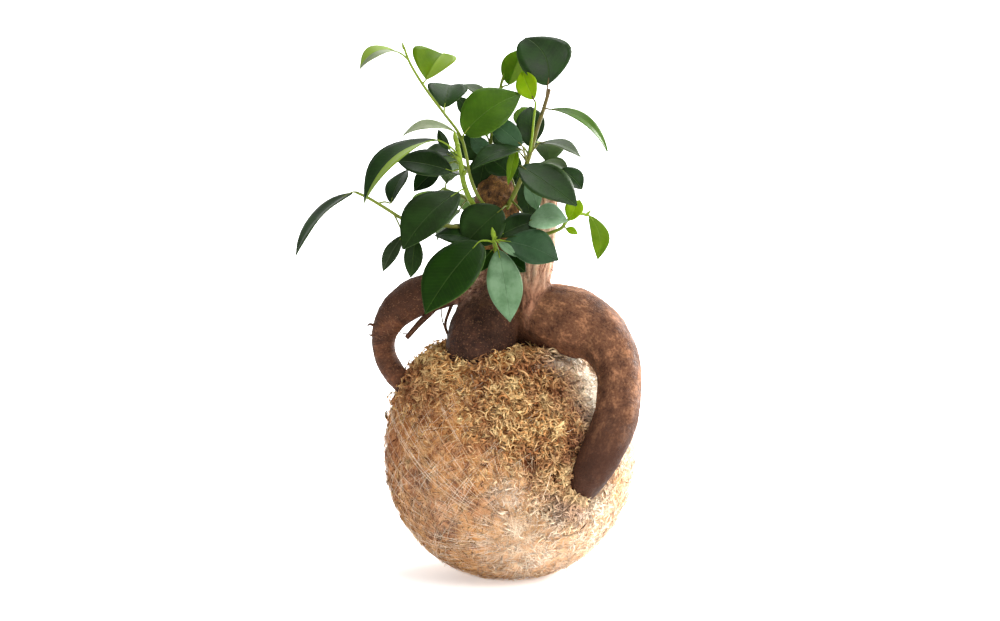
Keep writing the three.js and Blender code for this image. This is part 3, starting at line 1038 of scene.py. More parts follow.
@dataclass(frozen=True)
class Strand:
    """A kind of strand: how its forms are made, and how copies of them lie on the ball."""

    curl: float  # how far a strand turns from end to end, in radians
    forms: int  # how many forms there are to copy
    spans: int  # spans along a strand
    girth: float  # half a strand's width as a share of its length
    tone: float  # how light most of these strands are, from 0 to 1
    lift: tuple  # the least and greatest height above the even surface, in millimetres
    tilt: tuple  # the middling tilt and its spread, or the least and greatest if even_tilt is set, in radians
    size: tuple  # the least and greatest size against the form
    stray_lift: float = 0.0  # how much higher a few reach
    stray_size: float = 0.0  # how much larger a few are
    even_tilt: bool = False  # true where every tilt is as likely
    branches: int = 0  # how many short side strands each bears


class StrandKind(Enum):
    """The kinds of strand on the ball."""

    PRESSED = Strand(0.9, 8, 3, 0.042, 0.34, (-0.9, 0.45), (0, 0.1), (0.45, 1.1))
    CURLY = Strand(2.4, 24, 4, 0.056, 0.7, (-0.6, 1.0), (0.12, 0.4), (0.4, 0.95), 2.6, 0.5)
    BRANCHED = Strand(2.4, 16, 4, 0.045, 0.7, (-0.6, 1.0), (0.12, 0.4), (0.4, 0.95), 2.6, 0.5, branches=2)
    HAIR = Strand(1.2, 6, 3, 0.012, 0.5, (0.2, 1.4), (0.2, 1.2), (0.4, 0.9), even_tilt=True)


@dataclass
class MossStrands:
    """The strands on the ball: pressed flat all over, and curly where the winding leaves them loose."""

    ball: MossBall
    palette: Palette
    luck: random.Random = field(default_factory=lambda: random.Random(4))
    rng: np.random.Generator = field(default_factory=lambda: np.random.default_rng(7))
    length: float = 6.5
    flatness: float = 0.75  # a strand's height against its width
    turns: tuple = (0.1, 1.3)  # shares of its kind's curl that it turns sideways
    twists: tuple = (-1.1, 1.1)  # shares of it that it turns upward
    climb: float = 0.8
    girths: tuple = (0.7, 1.4)
    peaks: tuple = (0.3, 0.7)  # where it is thickest
    taper: tuple = (1.1, 1.7, 0.15)  # its thickness there, what it loses to each end, and the least
    sides: int = 3
    twig_spans: int = 2
    twig_turns: tuple = (0.5, 1.2)
    twig_lengths: tuple = (0.3, 0.5)
    twig_taper: tuple = (0.8, 0.8, 0.3)
    pressed: int = 15000
    pressed_parts: int = 3
    loose: int = 14500
    curly_parts: int = 3
    branched: int = 2000
    tries: int = 14  # places tried for each loose strand
    shutting: float = 1.5  # how soon a bare patch lets none lie
    thinning: float = 1.3  # how soon they thin out from the loose moss's middle
    bare: tuple = (Spot((0.98, -0.2, 0.1), 0.35),)  # has no loose strands, like the patches of painted highlight
    tufts: tuple = (Spot((0.478, -0.868, -0.15), 0.055, 6.5), Spot((0.42, -0.89, -0.22), 0.06, 4.5))
    tuft_strands: int = 260
    hairs: int = 1600
    flow: Cloud = Cloud(0.25, math.pi, 11)  # the way that neighbouring strands share
    flow_stray: float = 0.9
    pole: tuple = (0.02, 0.03, 1.0)
    lowest: float = 0.05
    tone_spread: float = 0.27
    tip_light: float = 0.25  # painted light and shade: how much lighter the highest strands are, and darker the lowest
    lump_shade: float = 0.24  # painted shade: how much lighter for each millimetre of lump, and darker in dips and holes

    def curling_line(self, curl: float, spans: int, length: float) -> list[Vector]:
        """A curling line about its middle, in spans of equal length.

        Args:
            curl: How far it may turn, in radians.
            spans: How many spans.
            length: Its length.

        Returns:
            The line's points.
        """
        turn = self.luck.uniform(*self.turns) * curl * self.luck.choice((-1, 1))
        twist = self.luck.uniform(*self.twists) * curl
        heading, rise = -turn / 2, -twist / 3
        point, line = Vector(), []
        for _ in range(spans + 1):
            line.append(point.copy())
            ahead = Vector((math.cos(heading), math.sin(heading), math.sin(rise) * self.climb))
            point = point + ahead * length / spans
            heading += turn / spans
            rise += twist / spans
        middle = sum(line, Vector()) / len(line)
        return [point - middle for point in line]

    def one_form(self, kind: Strand) -> Mesh:
        """A flat curly strand with its side strands.

        Args:
            kind: Its kind.

        Returns:
            The strand's mesh, in millimetres.
        """
        line = self.curling_line(kind.curl, kind.spans, 1.0)
        wide = self.luck.uniform(*self.girths) * kind.girth
        peak = self.luck.uniform(*self.peaks)
        most_wide, loss, least = self.taper
        shares = [max(most_wide - loss * abs(i / kind.spans - peak), least) for i in range(kind.spans + 1)]
        rods = [Rod(line, [wide * share for share in shares])]
        for start in line[1 : 1 + kind.branches]:
            turn = Matrix.Rotation(self.luck.choice((-1, 1)) * self.luck.uniform(*self.twig_turns), 3, "Z")
            twig = self.curling_line(kind.curl, self.twig_spans, self.luck.uniform(*self.twig_lengths))
            twig = [start + turn @ (point - twig[0]) for point in twig]
            rods.append(Rod(twig, [wide * share for share in self.twig_taper]))
        for rod in rods:
            rod.line = [point * self.length for point in rod.line]
            rod.radii = [radius * self.length for radius in rod.radii]
        mesh = rod_mesh("strand_form", rods, self.sides)
        with shaping(mesh) as form:
            bmesh.ops.scale(form, vec=(1, 1, self.flatness), verts=form.verts)
            bmesh.ops.triangulate(form, faces=form.faces)
        return mesh

    def forms(self, kind: Strand) -> tuple[Rows, Rows]:
        """The corners of each form of a kind, in millimetres, and the triangles they all share.

        Args:
            kind: The kind.

        Returns:
            The corners, form by form, and the triangles.
        """
        corners, triangles = [], np.empty(0)
        for _ in range(kind.forms):
            mesh = self.one_form(kind)
            corners.append(corners_of(mesh))
            triangles = np.empty(len(mesh.polygons) * 3, np.int32)
            mesh.polygons.foreach_get("vertices", triangles)
            bpy.data.meshes.remove(mesh)
        return np.array(corners), triangles.reshape(-1, 3)

    def lay(self, kind: Strand, directions: Rows) -> tuple[Rows, Rows, Rows]:
        """How strands of a kind lie.

        Args:
            kind: The kind.
            directions: Where each lies, from the ball's centre.

        Returns:
            Each strand's height in millimetres, its tilt in radians, and its size against its form.
        """
        count = len(directions)
        lift = self.rng.uniform(*kind.lift, count)
        if kind.stray_lift:
            lift += self.rng.random(count) ** 2 * kind.stray_lift
            lift += self.rng.random(count) ** 0.7 * most(self.tufts, directions)
        tilt = (self.rng.uniform if kind.even_tilt else self.rng.normal)(*kind.tilt, count)
        size = self.rng.uniform(*kind.size, count)
        if kind.stray_size:
            size += self.rng.random(count) ** 3 * kind.stray_size
        return lift, tilt, size

    def scatter(self, name: str, kind: Strand, forms: tuple, directions: Rows) -> None:
        """Lays copies of a kind's forms on the ball as one piece.

        Args:
            name: The piece's name.
            kind: The kind.
            forms: Its forms' corners and the triangles they share.
            directions: Where each strand lies, from the ball's centre.
        """
        lift, tilt, size = self.lay(kind, directions)
        shapes, triangles = forms
        count, corners = len(directions), shapes.shape[1]
        flow = self.flow.at(directions) + self.rng.normal(0, self.flow_stray, count)
        level = unit_rows(np.cross(directions, self.pole))
        steep = np.cross(directions, level)
        ahead = level * np.cos(flow)[:, None] + steep * np.sin(flow)[:, None]
        aside = np.cross(directions, ahead)
        raised = ahead * np.cos(tilt)[:, None] + directions * np.sin(tilt)[:, None]
        upward = directions * np.cos(tilt)[:, None] - ahead * np.sin(tilt)[:, None]
        local = shapes[self.rng.integers(0, len(shapes), count)] * size[:, None, None] * MM
        turned = np.einsum("nvk,nkd->nvd", local, np.stack([raised, aside, upward], axis=1))
        lumps = self.ball.lumps(directions)
        points = (self.ball.at(directions, lift + lumps)[:, None, :] + turned).reshape(-1, 3)
        points[:, 2] = np.maximum(points[:, 2], self.lowest * MM)
        faces = (np.arange(count)[:, None, None] * corners + triangles[None]).reshape(-1, 3)
        mesh = bpy.data.meshes.new(name)
        mesh.from_pydata(points.tolist(), [], faces.tolist())
        mesh.shade_smooth()
        height = (lift - lift.min()) / np.ptp(lift)
        # tone at random, with painted light on the highest strands and painted shade on the lowest and in
        # dips
        tones = self.rng.normal(kind.tone, self.tone_spread, count) + self.tip_light * (height - 0.5)
        tones += self.lump_shade * lumps
        self.ball.dress(mesh, np.repeat(directions, corners, axis=0), np.repeat(tones, corners), 1.0)
        mesh.materials.append(self.palette.strands)
        piece(name, mesh, "moss")

    def spread(self, count: int) -> Rows:
        """Random directions, as many everywhere on the ball."""
        return unit_rows(self.rng.normal(size=(count, 3)))

    def near(self, spot: Spot, count: int) -> Rows:
        """Random directions in and round a patch."""
        middle = np.array(Vector(spot.toward).normalized())
        return unit_rows(middle + self.rng.normal(0, spot.spread, (count, 3)))

    def loose_places(self) -> list[Rows]:
        """Where the loose strands lie: a part for each piece, with the tufts in the first.

        Returns:
            The directions for each piece.
        """
        tries = self.spread(self.loose * self.tries)
        shut = (*self.bare, *self.ball.glare_patches, *self.ball.holes)
        open_share = np.maximum(1 - self.shutting * most(shut, tries), 0)
        likely = most(self.ball.loose, tries) ** self.thinning * open_share
        chosen = tries[self.rng.random(len(tries)) < likely]
        each = (self.loose - self.branched) // self.curly_parts
        parts = np.split(chosen[: self.loose], [each * part for part in range(1, self.curly_parts + 1)])
        tufts = [self.near(tuft, self.tuft_strands) for tuft in self.tufts]
        return [np.concatenate([parts[0], *tufts]), *parts[1:]]

    def build(self) -> None:
        """Makes every strand, in a few pieces."""
        forms = {kind: self.forms(kind.value) for kind in StrandKind}
        kind = StrandKind.PRESSED
        for part in range(1, self.pressed_parts + 1):
            places = self.spread(self.pressed // self.pressed_parts)
            self.scatter(f"moss_pressed_{part}", kind.value, forms[kind], places)
        for part, places in enumerate(self.loose_places(), start=1):
            kind = StrandKind.CURLY if part <= self.curly_parts else StrandKind.BRANCHED
            self.scatter(f"moss_loose_{part}", kind.value, forms[kind], places)
        kind = StrandKind.HAIR
        self.scatter("moss_hairs", kind.value, forms[kind], self.spread(self.hairs))


@dataclass(frozen=True)
class Turns:
    """Turns of thread that are laid alike."""

    count: int  # how many
    square_to: tuple  # what they are square to, before they stray
    stray: tuple  # how far that strays along X, Y and Z
    shift: tuple  # the least and greatest shift off the ball's middle, as a share of its radius
    lift: tuple  # the least and greatest height above the even surface, in millimetres
    sunk: float  # how deep they lie where the moss is loose, in millimetres
    share: float  # their thickness against the thread's
    seed: int  # where their wander starts


@dataclass
class Winding:
    """The thread round the ball: turns that cross at a star low on the front, and turns that don't."""

    ball: MossBall
    luck: random.Random = field(default_factory=lambda: random.Random(12))
    radius: float = 0.07
    steps: int = 56
    wander_size: float = 2.0
    wander: tuple = (0.02, 0.3)  # sideways as a share of the ball's radius, and up in millimetres
    lowest: float = 0.2
    star: tuple = (9.0, -58.0, -28.0)  # where its turns cross, as a direction from the ball's centre
    star_turns: int = 95
    star_lift: tuple = (0.0, 1.2)
    star_stray: float = 0.05
    sunk: float = 5.5  # how deep its turns lie where the moss is loose
    sinking: float = 1.5  # how soon they rise from there
    thick_step: int = 9
    thick: tuple = (1.4, 1.9)
    thin: tuple = (0.7, 1.2)
    others: tuple = (
        Turns(48, (0, 0, 0), (1, 1, 0.8), (-0.6, 0.6), (0.0, 1.0), 5.5, 0.9, 200),
        Turns(8, (-0.6, 0.48, 0.64), (0.05, 0.05, 0.05), (-0.4, 0.35), (0.5, 1.5), 0.0, 1.2, 400),
    )
    loose_end: tuple = ((22, -64, 74), (18.5, -66.5, 60), (14, -64.5, 47), (13, -62, 41))
    loose_end_radii: tuple = (0.1, 0.22, 0.2, 0.1)
    loose_end_steps: int = 6
    sides: int = 3

    def turn(self, axis: Vector, shift: float, lift: float, seed: int, sunk: float, share: float) -> Rod:
        """One turn of thread round the ball.

        Args:
            axis: Square to the turn.
            shift: How far off the ball's middle the turn runs, as a share of its radius.
            lift: Its height above the even surface, in millimetres.
            seed: Where its small wander starts.
            sunk: How deep it lies in the loose moss, in millimetres.
            share: Its thickness against the thread's.

        Returns:
            The turn.
        """
        across = axis.orthogonal().normalized()
        angles = np.linspace(0, math.tau, self.steps, endpoint=False)
        circle = [(math.cos(a) * self.wander_size, math.sin(a) * self.wander_size) for a in angles]
        wander = np.array([noise.noise(Vector((*place_on, seed))) for place_on in circle])
        ring = np.outer(np.cos(angles), across) + np.outer(np.sin(angles), axis.cross(across))
        ring = unit_rows(ring + np.outer(shift + wander * self.wander[0], axis))
        depth = sunk * most(self.ball.loose, ring) ** self.sinking
        points = self.ball.at(ring, lift + wander * self.wander[1] - depth)
        points[:, 2] = np.maximum(points[:, 2], self.lowest * MM)
        return Rod([Vector(point) for point in points], [self.radius * share * MM] * self.steps, closed=True)

    def star_rods(self) -> Iterator[Rod]:
        """The turns that cross at the star.

        Yields:
            The turns.
        """
        star = Vector(self.star).normalized()
        level = star.orthogonal().normalized()
        for index in range(self.star_turns):
            axis = Matrix.Rotation(self.luck.uniform(0, math.pi), 3, star) @ level
            share = self.luck.uniform(*(self.thin if index % self.thick_step else self.thick))
            lift = self.luck.uniform(*self.star_lift)
            yield self.turn(axis, self.luck.gauss(0, self.star_stray), lift, index, self.sunk, share)

    def other_rods(self, turns: Turns) -> Iterator[Rod]:
        """The turns of one of the other sets.

        Args:
            turns: The set.

        Yields:
            The turns.
        """
        for index in range(turns.count):
            stray = Vector([self.luck.gauss(0, spread) for spread in turns.stray])
            axis = (Vector(turns.square_to) + stray).normalized()
            shift, lift = self.luck.uniform(*turns.shift), self.luck.uniform(*turns.lift)
            yield self.turn(axis, shift, lift, turns.seed + index, turns.sunk, turns.share)

    def build(self, palette: Palette) -> None:
        """Makes the winding as one piece.

        Args:
            palette: The materials.
        """
        rods = list(self.star_rods())
        for turns in self.others:
            rods += self.other_rods(turns)
        rods.append(Rod.through(self.loose_end, self.loose_end_radii, self.loose_end_steps))
        mesh = rod_mesh("winding", rods, self.sides)
        mesh.materials.append(palette.thread)
        piece("binding_thread_winding", mesh, "thread", ["binding_thread"])


@dataclass(frozen=True)
class Limb:
    """A limb of the trunk and roots: points down its middle and its radius at each."""

    points: tuple
    radii: tuple


LIMBS = {
    "trunk": Limb(
        ((-4, 0, 126), (-5, 0, 138), (-6, 0, 153), (-8, 2, 173), (-7, 0, 192), (-6, 0, 202), (-6, 0, 207)),
        (12, 16, 13.5, 11.5, 11.5, 9.5, 4.5),
    ),
    "pale_column": Limb(
        (
            (10, -20, 132), (11, -19, 144), (13, -13, 159), (17, -4, 174), (20, 4, 189), (20, 8, 198),
            (20, 9, 202),
        ),
        (2.4, 5.6, 8.8, 7.2, 5.2, 4.6, 2.6),
    ),
    "right_root": Limb(
        (
            (4, 0, 140), (17, -8, 136), (33, -18, 133), (46, -28, 127), (54, -38, 113), (54, -46, 101),
            (52, -52, 89), (47, -58, 78), (41.5, -60, 67), (37.5, -57, 58), (33, -47, 50), (28, -37, 44),
        ),
        (11, 16.5, 18, 14.5, 11.9, 11.2, 11.2, 10.8, 9.8, 8.2, 6, 4),
    ),
    "left_root": Limb(
        (
            (-8, 0, 152), (-23, -2, 151), (-38, -4, 148), (-51, -4, 143), (-61, -4, 134), (-65, -4, 123),
            (-64, -6, 114), (-58, -8, 104), (-51, -6, 96), (-43, -4, 88),
        ),
        (10, 9.5, 10, 10, 8.2, 6.4, 6.2, 5.8, 5, 3.2),
    ),
    "middle_root": Limb(
        ((-6, -4, 147), (-11, -10, 138), (-14, -14, 128), (-16, -16, 116), (-17, -14, 104), (-16, -10, 92)),
        (12, 15, 17.5, 17, 12, 5),
    ),
    "centre_root": Limb(((10, -8, 134), (12, -6, 124), (12, -4, 112), (11, -2, 98)), (10, 9.5, 8, 4.5)),
    "back_root": Limb(
        ((-5, 2, 142), (-3, 14, 134), (0, 24, 124), (2, 27, 112), (2, 26, 98)),
        (12, 13, 12, 10, 5),
    ),
}

ROOTLETS = (
    Limb(((-36, -4, 145), (-39, -7, 139), (-46, -8, 132), (-53, -8, 124)), (2.4, 1.8, 1.6, 1.3)),
    Limb(((-28, -6, 145), (-31, -8, 138), (-33, -9, 131), (-31, -10, 124)), (1.4, 0.9, 0.8, 0.7)),
    Limb(((-35, -6, 143), (-35, -8, 136), (-33, -9, 128), (-31, -10, 124)), (0.4, 0.35, 0.3, 0.2)),
    Limb(((-31, -10, 126), (-31, -11, 120), (-30, -11, 114)), (0.5, 0.35, 0.2)),
    Limb(((-52, -8, 126), (-56, -9, 127), (-57, -10, 129)), (0.35, 0.25, 0.15)),
    Limb(((-69, -6, 130), (-72, -7, 131), (-73, -8, 130)), (0.9, 0.6, 0.3)),
    Limb(((-70, -6, 125), (-72.5, -7, 125.5)), (0.7, 0.3)),
)

HAIRS = (
    ((19, -12, 166), (24, -14, 164), (26, -14, 160)),
    ((19, -15, 162), (23, -17, 158), (23, -18, 153)),
    ((19, -9, 170), (24, -10, 171), (26, -11, 168)),
    ((18, -18, 155), (21, -20, 152), (21, -20, 149)),
    ((-18, -9, 146), (-22, -12, 142), (-20, -13, 138)),
    ((-15, -12, 146), (-18, -15, 142), (-17, -16, 138)),
    ((11, -20, 137), (12, -24, 130), (13, -25, 122)),
)


TIGHTEST = 0.35  # the least share of its length that the inside of a bend keeps


class Spine:
    """A limb's middle line, with its own directions at each point."""

    def __init__(self, limb: Limb, per_span: int) -> None:
        """Works out the line, how it bends, and two directions across it that don't spin.

        Args:
            limb: The limb.
            per_span: Steps between its points.
        """
        rod = Rod.through(limb.points, limb.radii, per_span)
        self.line = np.array([list(point) for point in rod.line])
        self.radii = np.array(rod.radii)
        steps = np.linalg.norm(np.diff(self.line, axis=0), axis=1)
        self.along = np.concatenate([[0], np.cumsum(steps)])
        tangents = [Vector(tangent).normalized() for tangent in np.gradient(self.line, axis=0)]
        side = tangents[0].orthogonal().normalized()
        sides = []
        for tangent in tangents:
            side = (side - tangent * side.dot(tangent)).normalized()
            sides.append(side.copy())
        self.tangents = np.array(tangents)
        self.bends = np.gradient(self.tangents, self.along, axis=0)
        self.sides = np.array(sides)
        self.others = np.array([tangent.cross(side) for tangent, side in zip(tangents, sides)])

    def locate(self, points: Rows) -> tuple[Rows, Rows]:
        """Where points lie on the limb.

        Args:
            points: A row for each point, in metres.

        Returns:
            How far each is from the line, against the radius there, and its place along and across it.
        """
        away = points[:, None, :] - self.line[None]
        scores = np.linalg.norm(away, axis=2) / self.radii
        nearest = scores.argmin(axis=1)
        rows = np.arange(len(points))
        offset = away[rows, nearest]
        ways = (self.tangents, self.sides, self.others, self.bends)
        ahead, width, height, bent = ((offset * way[nearest]).sum(axis=1) for way in ways)
        ahead /= np.maximum(1 - bent, TIGHTEST)
        return scores[rows, nearest], np.stack([self.along[nearest] + ahead, width, height], axis=1)


@dataclass
class Wood:
    """The grown wood: trunk, pale column, roots and rootlets."""

    voxel: float = 1.05
    softening: int = 7
    per_span: int = 6
    limb_gap: float = 0.31  # keeps each limb's grain apart from the next one's, in metres
    blend: float = 0.1  # how wide the limbs blend, against their radius
    lump_place: tuple = (-19, -10, 151)
    lump_spread: float = 12.0
    lump_share: tuple = (1.4, 0.2)  # its strength before it is held at 1, and what is taken off
    swells: Cloud = Cloud(13 * MM, 0.55, 1)
    dents: Cloud = Cloud(4.5 * MM, 0.22, 2)
    rings: Cloud = Cloud(1.7 * MM, 0.16, 3)
    ringed: tuple = (1, 0.2, 0.2)
    cracks: Cloud = Cloud(2.6 * MM, 1.0, 4)
    flakes: Cloud = Cloud(1.4 * MM, 0.3, 9)
    fissured: tuple = (0.13, 1, 1)
    crack_width: float = 0.3
    crack_depth: float = 2.4
    rough: tuple = (Cloud(5 * MM, 1.1, 6), Cloud(2.2 * MM, 0.7, 7))
    knobs: Cloud = Cloud(3.6 * MM, 3.4, 12)
    knob_sink: float = 0.4
    limb_sides: int = 20
    rootlet_sides: int = 8
    rootlet_steps: int = 5
    rootlet_limbs: tuple = (0, 0.35, 0.65, 0)
    rootlet_depth: float = 0.3
    hair_radii: tuple = (0.16, 0.08)
    back_share: float = 0.5  # how dark the back root is against the middle one

    def shares(self, points: Rows) -> tuple[dict[str, Rows], Rows]:
        """How much of each limb every point is, and where it lies along and across its own limb.

        Args:
            points: The points, in metres.

        Returns:
            The shares by limb, and the places.
        """
        depths, grains = [], []
        for number, limb in enumerate(LIMBS.values()):
            depth, grain = Spine(limb, self.per_span).locate(points)
            grain[:, 0] += number * self.limb_gap
            depths.append(depth)
            grains.append(grain)
        depths = np.array(depths)
        weights = np.exp(-(depths - depths.min(axis=0)) / self.blend)
        weights /= weights.sum(axis=0)
        grain = np.array(grains)[depths.argmin(axis=0), np.arange(len(points))]
        return dict(zip(LIMBS, weights)), grain

    def skin(self) -> Mesh:
        """The limbs grown together in one smooth skin.

        Returns:
            The skin's mesh.
        """
        rods = [Rod.through(limb.points, limb.radii, self.per_span) for limb in LIMBS.values()]
        holder = add_object("limbs", rod_mesh("limbs", rods, self.limb_sides))
        join = holder.modifiers.new("join", "REMESH")
        join.mode = "VOXEL"
        join.voxel_size = self.voxel * MM
        mesh = finished_mesh(holder, "wood_skin")
        every_way = {"use_axis_x": True, "use_axis_y": True, "use_axis_z": True}
        with shaping(mesh) as form:
            for _ in range(self.softening):
                bmesh.ops.smooth_vert(form, verts=form.verts, factor=0.5, **every_way)
        return mesh

    def relief(self, points: Rows, shares: dict, grain: Rows, lumpy: Rows) -> Rows:
        """How far the bark stands out.

        Args:
            points: Where on the skin, in metres.
            shares: How much of each limb each point is.
            grain: Where each lies along and across its limb.
            lumpy: How much of the rough lump each is.

        Returns:
            The relief at each point, in millimetres.
        """
        fissured = grain * np.array(self.fissured)
        cracks = np.clip(self.crack_width - np.abs(self.cracks.at(fissured)), 0, 1) * -self.crack_depth
        cracks += self.flakes.at(fissured)
        rough = sum(cloud.at(points) for cloud in self.rough)
        smooth = self.swells.at(points) + self.dents.at(points) + self.rings.at(grain * np.array(self.ringed))
        knobs = np.abs(self.knobs.at(points)) - self.knob_sink
        column, trunk = shares["pale_column"], shares["trunk"]
        even = smooth * (1 - column - trunk) + cracks * column + rough * trunk
        return even * (1 - lumpy) + knobs * lumpy

    def dress(self, mesh: Mesh, limbs: Rows, grain: Rows, depth: Rows, lumpy: Rows) -> None:
        """Stores what the bark's material reads at a mesh's corners.

        Args:
            mesh: The mesh.
            limbs: How much of the pale column, the left root, the dark roots and the trunk each corner is.
            grain: Where it lies along and across its limb, in metres.
            depth: How far the bark stands out there, in millimetres.
            lumpy: How much of the rough lump it is.
        """
        add_attribute(mesh, "limb_share", "FLOAT_COLOR", limbs)
        add_attribute(mesh, "bark_grain", "FLOAT_VECTOR", grain)
        add_attribute(mesh, "bark_depth", "FLOAT", depth)
        add_attribute(mesh, "lump_share", "FLOAT", lumpy)

    def make_wood(self, palette: Palette) -> None:
        """The trunk and roots, with their relief.

        Args:
            palette: The materials.
        """
        mesh = self.skin()
        points = corners_of(mesh)
        shares, grain = self.shares(points)
        gap = np.linalg.norm(points - np.array(self.lump_place) * MM, axis=1) / MM
        strength, less = self.lump_share
        lumpy = np.clip(strength * np.exp(-((gap / self.lump_spread) ** 2)) - less, 0, 1)
        depth = self.relief(points, shares, grain, lumpy)
        normals = np.empty(len(points) * 3)
        mesh.vertices.foreach_get("normal", normals)
        points = points + normals.reshape(-1, 3) * depth[:, None] * MM
        mesh.vertices.foreach_set("co", points.ravel())
        mesh.shade_smooth()
        back = shares["back_root"] * self.back_share
        dark = np.clip(shares["middle_root"] + shares["centre_root"] + back, 0, 1)
        limbs = np.stack([shares["pale_column"], shares["left_root"], dark, shares["trunk"]], axis=1)
        self.dress(mesh, limbs, grain, depth, lumpy)
        mesh.materials.append(palette.bark)
        piece("trunk_and_roots_bark", mesh, "bark", ["trunk_and_roots"])

    def make_rootlets(self, palette: Palette) -> None:
        """Dead rootlets under the left root, and fine hairs on the bark.

        Args:
            palette: The materials.
        """
        rods = [Rod.through(one.points, one.radii, self.rootlet_steps) for one in ROOTLETS]
        wide, end = self.hair_radii
        for points in HAIRS:
            rods.append(Rod.through(points, [wide] * (len(points) - 1) + [end], self.rootlet_steps))
        mesh = rod_mesh("rootlets", rods, self.rootlet_sides)
        points = corners_of(mesh)
        count = len(points)
        limbs = np.tile(self.rootlet_limbs, (count, 1))
        self.dress(mesh, limbs, points, np.full(count, self.rootlet_depth), np.zeros(count))
        mesh.materials.append(palette.bark)
        piece("rootlets", mesh, "bark")

    def build(self, palette: Palette) -> None:
        """Makes the wood and the rootlets."""
        self.make_wood(palette)
        self.make_rootlets(palette)


@dataclass(frozen=True)
class Leaf:
    """A leaf on a shoot."""

    at: float  # its stalk's place up the stem, as a share of it
    base: tuple  # where the blade starts
    tip: tuple  # where it ends
    width: float  # the blade's greatest width
    faces: tuple  # the way its upper side looks
    tone: LeafTone = LeafTone.DARK  # its greens
    arch: float = 2.0  # how far the midrib bows upward
    fold: float = 10.0  # how far each half is raised, in degrees
    sweep: float = 0.0  # how far the midrib bows sideways
    widest: float = 0.5  # where the blade is widest, as a share of its length
    second: int = 0  # 1 or -1 where the half on that side is lit through, or 0
    point: float = 0.3  # how pointed the tip is: 0.3 on most, below 0 where it is round


@dataclass(frozen=True)
class Bud:
    """A pointed bud: where it starts, where it ends, and its radius."""

    base: tuple
    tip: tuple
    radius: float


@dataclass(frozen=True)
class Shoot:
    """A leafy shoot."""

    stem: tuple  # points up its stem
    radii: tuple  # the stem's radii at foot and tip
    age: tuple  # how old the stem is at foot and tip: 0 is green and 1 is brown
    leaves: tuple  # the stem's leaves
    side_stem: tuple = ()  # points up a second, green stem, if it has one
    side_leaves: tuple = ()  # that stem's leaves
    buds: tuple = ()  # its buds
    slot: str = "leaf"  # the record's material slot for it


DARK, DEEP, GREY_SHEEN, PALE, TEAL, MIST, FROST_SHEEN, MID, FRESH, YOUNG = LeafTone

